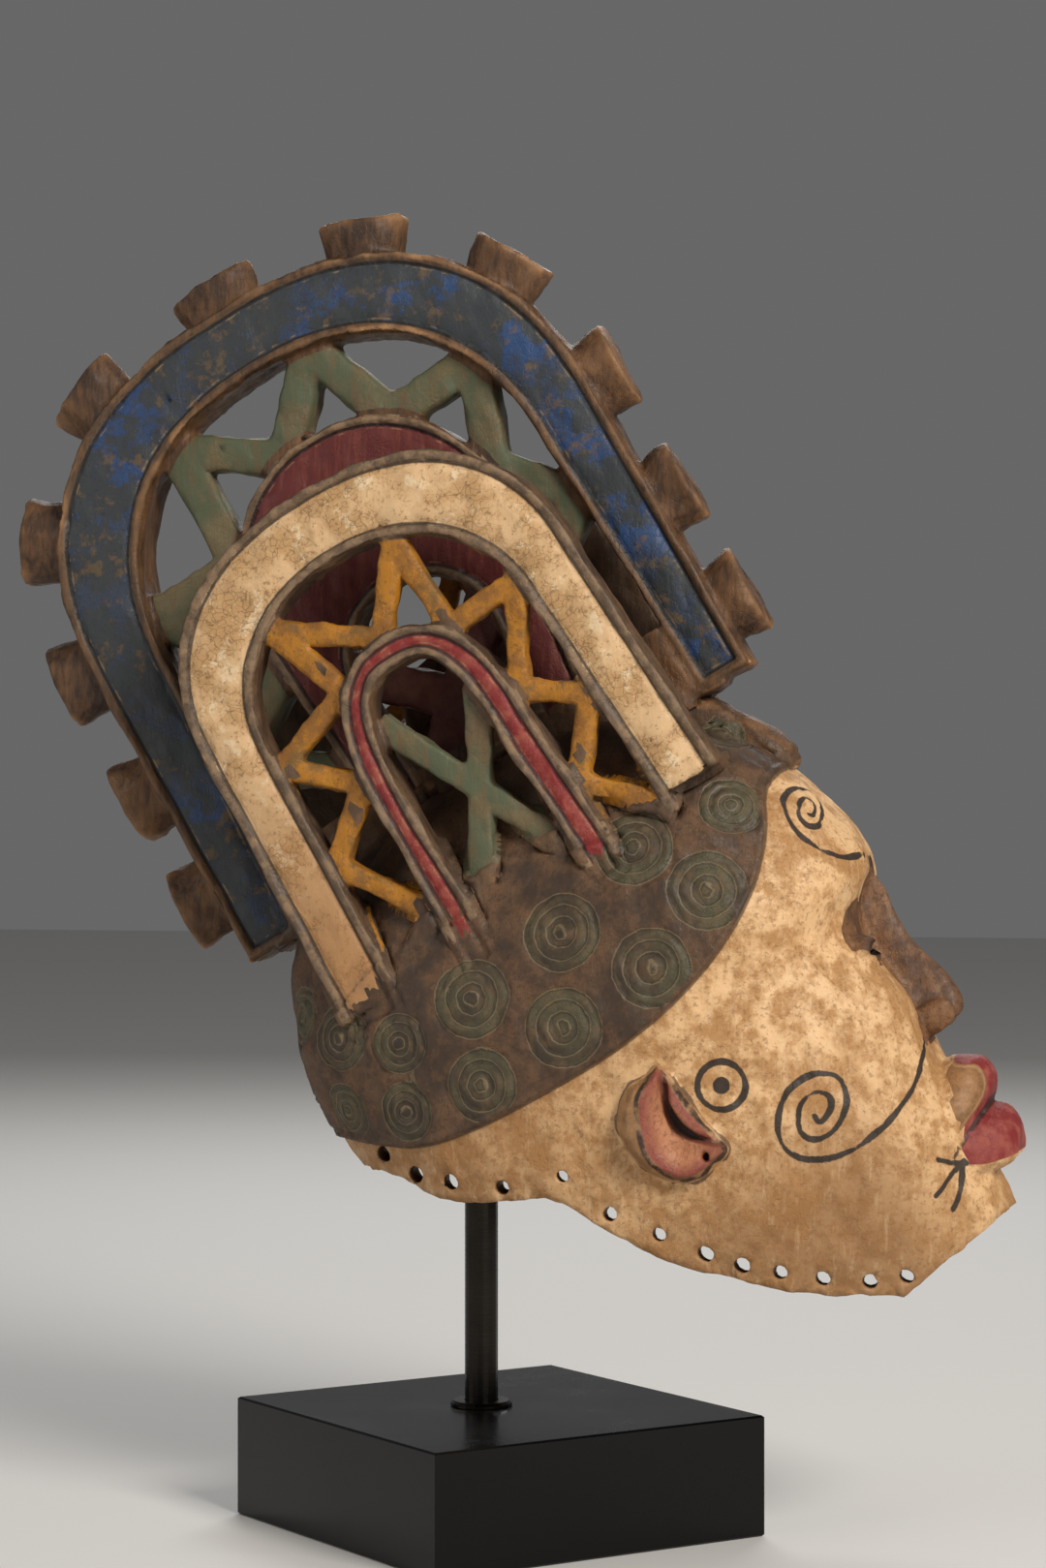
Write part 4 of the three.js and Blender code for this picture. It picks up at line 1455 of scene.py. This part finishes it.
def paint_ear(p):
    n, shell, ear, notch = p.n, p.n.stored("ear_shell"), p.n.stored("ear"), p.n.stored("ear_notch")
    # Painted shadow: a dark line around the edge of the ear, where it stands out from the head.
    p.over(n.times(n.between(shell, -0.8, 0.7, 0.4), 0.75), (60, 40, 28))
    tan = p.clouded(p.drift, 0.4, 0.62, (168, 124, 80), (128, 92, 58))
    p.over(n.times(n.ramp(shell, 0.4, 1.4), 0.85), tan)
    p.over(p.coat(ear, 0.02, 0.3), p.clouded(
        ear, 0.5, 8.0, (138, 66, 54), (184, 124, 86), (p.patch, 0.45, 0.62, 0.6, (152, 98, 66)),
        (p.grit, 0.5, 0.66, 0.5, (104, 62, 42))))
    # Painted shadow: a broken dark line between the outer shell and the pink bowl.
    p.over(n.times(n.between(ear, -2.0, 0.0, 0.5), n.ramp(p.patch, 0.34, 0.56)), (52, 33, 22))
    p.over(n.ramp(notch, -0.5, 0.5), (112, 62, 44))
    # Painted shade: the deep notch is darkest.
    p.over(n.ramp(notch, 0.6, 1.8), (36, 21, 16))


def paint_face(p):
    n = p.n
    p.over(p.coat(n.stored("nose"), -0.1, 0.3), p.clouded(
        p.drift, 0.4, 0.62, (86, 57, 36), (124, 86, 54), (p.streak, 0.5, 0.68, 0.4, (150, 110, 74)),
        (p.grit, 0.5, 0.66, 0.5, (58, 38, 28))))
    red = p.clouded(p.patch, 0.42, 0.66, (128, 38, 38), (154, 78, 66))
    flank = p.clouded(p.patch, 0.4, 0.62, (146, 102, 60), (106, 72, 42))
    p.over(n.ramp(n.stored("upper_lip"), -0.3, 0.6, 0.0, 0.85), flank)
    lip = n.stored("lip_front")
    p.over(p.coat(lip, 0.0, 0.3), red)
    p.over(n.times(n.between(lip, -0.9, -0.3, 0.25), 0.3), (210, 164, 122))
    p.over(p.coat(n.stored("lower_lip"), 0.0, 0.1), red)
    # Painted shade: a dark line in the parting between the lips.
    p.over(n.times(n.ramp(n.stored("parting"), -0.3, 0.5), 0.85), (40, 22, 17))
    # Painted shade: dark around the eye slits.
    p.over(n.ramp(n.stored("eye"), 0.8, 1.2, 0.92, 0.0), (34, 23, 17))


print("head paint ready")

# %% [markdown]
# Last come the things that lie over all the colours: the black lines of the face, raw wood in
# the hollow, painted shade and dirt in every corner, and a pale rub on edges, partly wear where
# hands have touched them and partly a painted highlight.

# %% Lines, dirt and handling
def paint_lines_wear_and_shading(p):
    """Black lines, broken where the brush ran dry; painted shade and dirt in corners; a pale rub on
    edges, from handling and as a painted highlight.
    """
    n = p.n
    dry = n.plus(n.stored("ink"), n.math("SUBTRACT", p.grit, 0.5))
    p.over(n.ramp(dry, -0.15, 0.3, 0.95, 0.0), (26, 21, 19))
    p.over(n.stored("inside"), p.clouded(p.streak, 0.35, 0.7, (92, 66, 44), (140, 106, 74)))
    # Painted shade and dirt: darker in corners, where the surface bends inwards.
    p.over(n.times(n.ramp(p.bend, -0.75, -0.12, 1.0, 0.0), 0.75), (34, 22, 15))
    # A pale rub on convex edges, partly wear from handling and partly a painted highlight.
    p.over(n.ramp(n.plus(p.bend, n.times(p.patch, 0.5)), 0.62, 1.0, 0.0, 0.5), (176, 138, 98))


def carving_material():
    material, n, surface, place = new_material("painted carving")
    p = Painting(n, place)
    for step in (paint_crest, paint_skin, paint_cap, paint_ear, paint_face, paint_lines_wear_and_shading):
        step(p)
    n.feed(surface.inputs["Base Color"], p.colour)
    n.feed(surface.inputs["Roughness"], n.ramp(p.patch, 0.35, 0.7, 0.52, 0.8))
    height = n.plus(n.times(p.wood.outputs["Height"], 0.5), n.times(p.grit, 0.35))
    height = n.plus(height, n.times(p.patch, 0.8))
    height = n.math("SUBTRACT", height, n.times(p.crack, 0.5))
    bump = n.add("ShaderNodeBump", Height=height, Strength=0.55, Distance=0.0009)
    n.feed(surface.inputs["Normal"], bump.outputs[0])
    return material


def only_material(obj, material):
    obj.data.materials.clear()
    obj.data.materials.append(material)
    obj.data.polygons.foreach_set("material_index", np.zeros(len(obj.data.polygons), np.int32))


only_material(mask, carving_material())
print("carving painted")

# %% [markdown]
# ## The stand
#
# The plinth is a block of black lacquered wood or acrylic with sharp, bright edges. The rod and
# its small foot are dark polished steel. Both are plain, so their finish is in small things:
# a faint cloudiness in the gloss, and fine turning lines around the rod.

# %% Materials of the stand
def plinth_material():
    material, n, surface, place = new_material("black gloss")
    haze = n.noise(place, 14.0, 4.0, 0.6)
    smear = n.noise(place, 160.0, 5.0, 0.7)
    n.feed(surface.inputs["Base Color"], n.mix(haze, (7, 7, 8), (12, 12, 13)))
    surface.inputs["Specular IOR Level"].default_value = 0.22
    mixed = n.plus(n.times(haze, 0.6), n.times(smear, 0.4))
    n.feed(surface.inputs["Roughness"], n.ramp(mixed, 0.3, 0.7, 0.14, 0.3))
    bump = n.add("ShaderNodeBump", Height=smear, Strength=0.12, Distance=0.0002)
    n.feed(surface.inputs["Normal"], bump.outputs[0])
    return material


def steel_material():
    material, n, surface, place = new_material("dark steel")
    turned = n.noise(n.stretched(place, 0, (0.2, 0.2, 30.0)), 90.0, 3.0, 0.6)
    stain = n.noise(place, 60.0, 4.0, 0.6)
    n.feed(surface.inputs["Base Color"], n.mix(stain, (34, 32, 30), (58, 54, 50)))
    surface.inputs["Metallic"].default_value = 1.0
    n.feed(surface.inputs["Roughness"], n.ramp(turned, 0.3, 0.7, 0.2, 0.34))
    bump = n.add("ShaderNodeBump", Height=turned, Strength=0.15, Distance=0.0001)
    n.feed(surface.inputs["Normal"], bump.outputs[0])
    return material


only_material(bpy.data.objects["plinth"], plinth_material())
steel = steel_material()
for name in ("rod", "rod_foot_disc"):
    only_material(bpy.data.objects[name], steel)
print("stand finished")

# %% [markdown]
# ## Floor, lights and camera
#
# One large soft light stands above the front right, and two weaker ones fill in the side and the
# back, so that the openwork stays readable. The camera looks level, turned by 12 degrees, which
# is where the photo was taken from.

# %% Floor, lights and camera
FLOOR_SPAN = 6.0
CORNERS = ((-1, -1), (1, -1), (1, 1), (-1, 1))


def floor():
    obj = new_object("floor", [(x * FLOOR_SPAN, y * FLOOR_SPAN, 0) for x, y in CORNERS], [(0, 1, 2, 3)])
    material, n, surface, place = new_material("pale floor")
    n.feed(surface.inputs["Base Color"], (0.72, 0.71, 0.69, 1))
    n.feed(surface.inputs["Roughness"], 0.8)
    only_material(obj, material)
    obj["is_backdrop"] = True


def placed(name, data, place, ahead):
    """A light or a camera, pointed along a direction."""
    obj = bpy.data.objects.new(name, data)
    obj.location = place
    obj.rotation_euler = ahead.to_track_quat("-Z", "Y").to_euler()
    bpy.context.scene.collection.objects.link(obj)
    return obj


def area_light(name, place, size, power, colour=(1, 1, 1)):
    data = bpy.data.lights.new(name, "AREA")
    data.shape = "RECTANGLE"
    data.size, data.size_y = size
    data.energy = power
    data.color = colour
    placed(name, data, place, MIDDLE - Vector(place))


MIDDLE = Vector((0, 0, 0.33))
floor()
area_light("key", (1.35, -1.3, 1.4), (0.8, 0.8), 43, (1, 0.95, 0.88))
area_light("fill", (-1.6, -1.2, 0.9), (1.2, 1.2), 9, (1, 0.96, 0.92))
area_light("back", (-0.2, 1.6, 1.5), (1.2, 0.8), 17)

scene = bpy.context.scene
scene.view_settings.view_transform = "Standard"
scene.world = bpy.data.worlds.new("studio")
scene.world.use_nodes = True
background = scene.world.node_tree.nodes["Background"].inputs
background["Color"].default_value = (0.8, 0.8, 0.8, 1)
background["Strength"].default_value = 0.17

CAMERA_TURN = math.radians(12)
CAMERA_AWAY = 1.554
CAMERA_ASIDE = 0.0109
CAMERA_HEIGHT = 0.311


def camera():
    data = bpy.data.cameras.new("camera")
    data.lens = 85
    data.sensor_fit = "VERTICAL"
    data.sensor_height = 36
    ahead = Vector((-math.sin(CAMERA_TURN), math.cos(CAMERA_TURN), 0))
    right = Vector((math.cos(CAMERA_TURN), math.sin(CAMERA_TURN), 0))
    place = -CAMERA_AWAY * ahead + CAMERA_ASIDE * right + Vector((0, 0, CAMERA_HEIGHT))
    return placed("camera", data, place, ahead)


scene.camera = camera()

# %% [markdown]
# Last, the boxes around the imported model and around what shows are gathered in a list.

# %% Sizes and finish
boxes = [[list(corner) for corner in box] for box in (cad_box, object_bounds())]
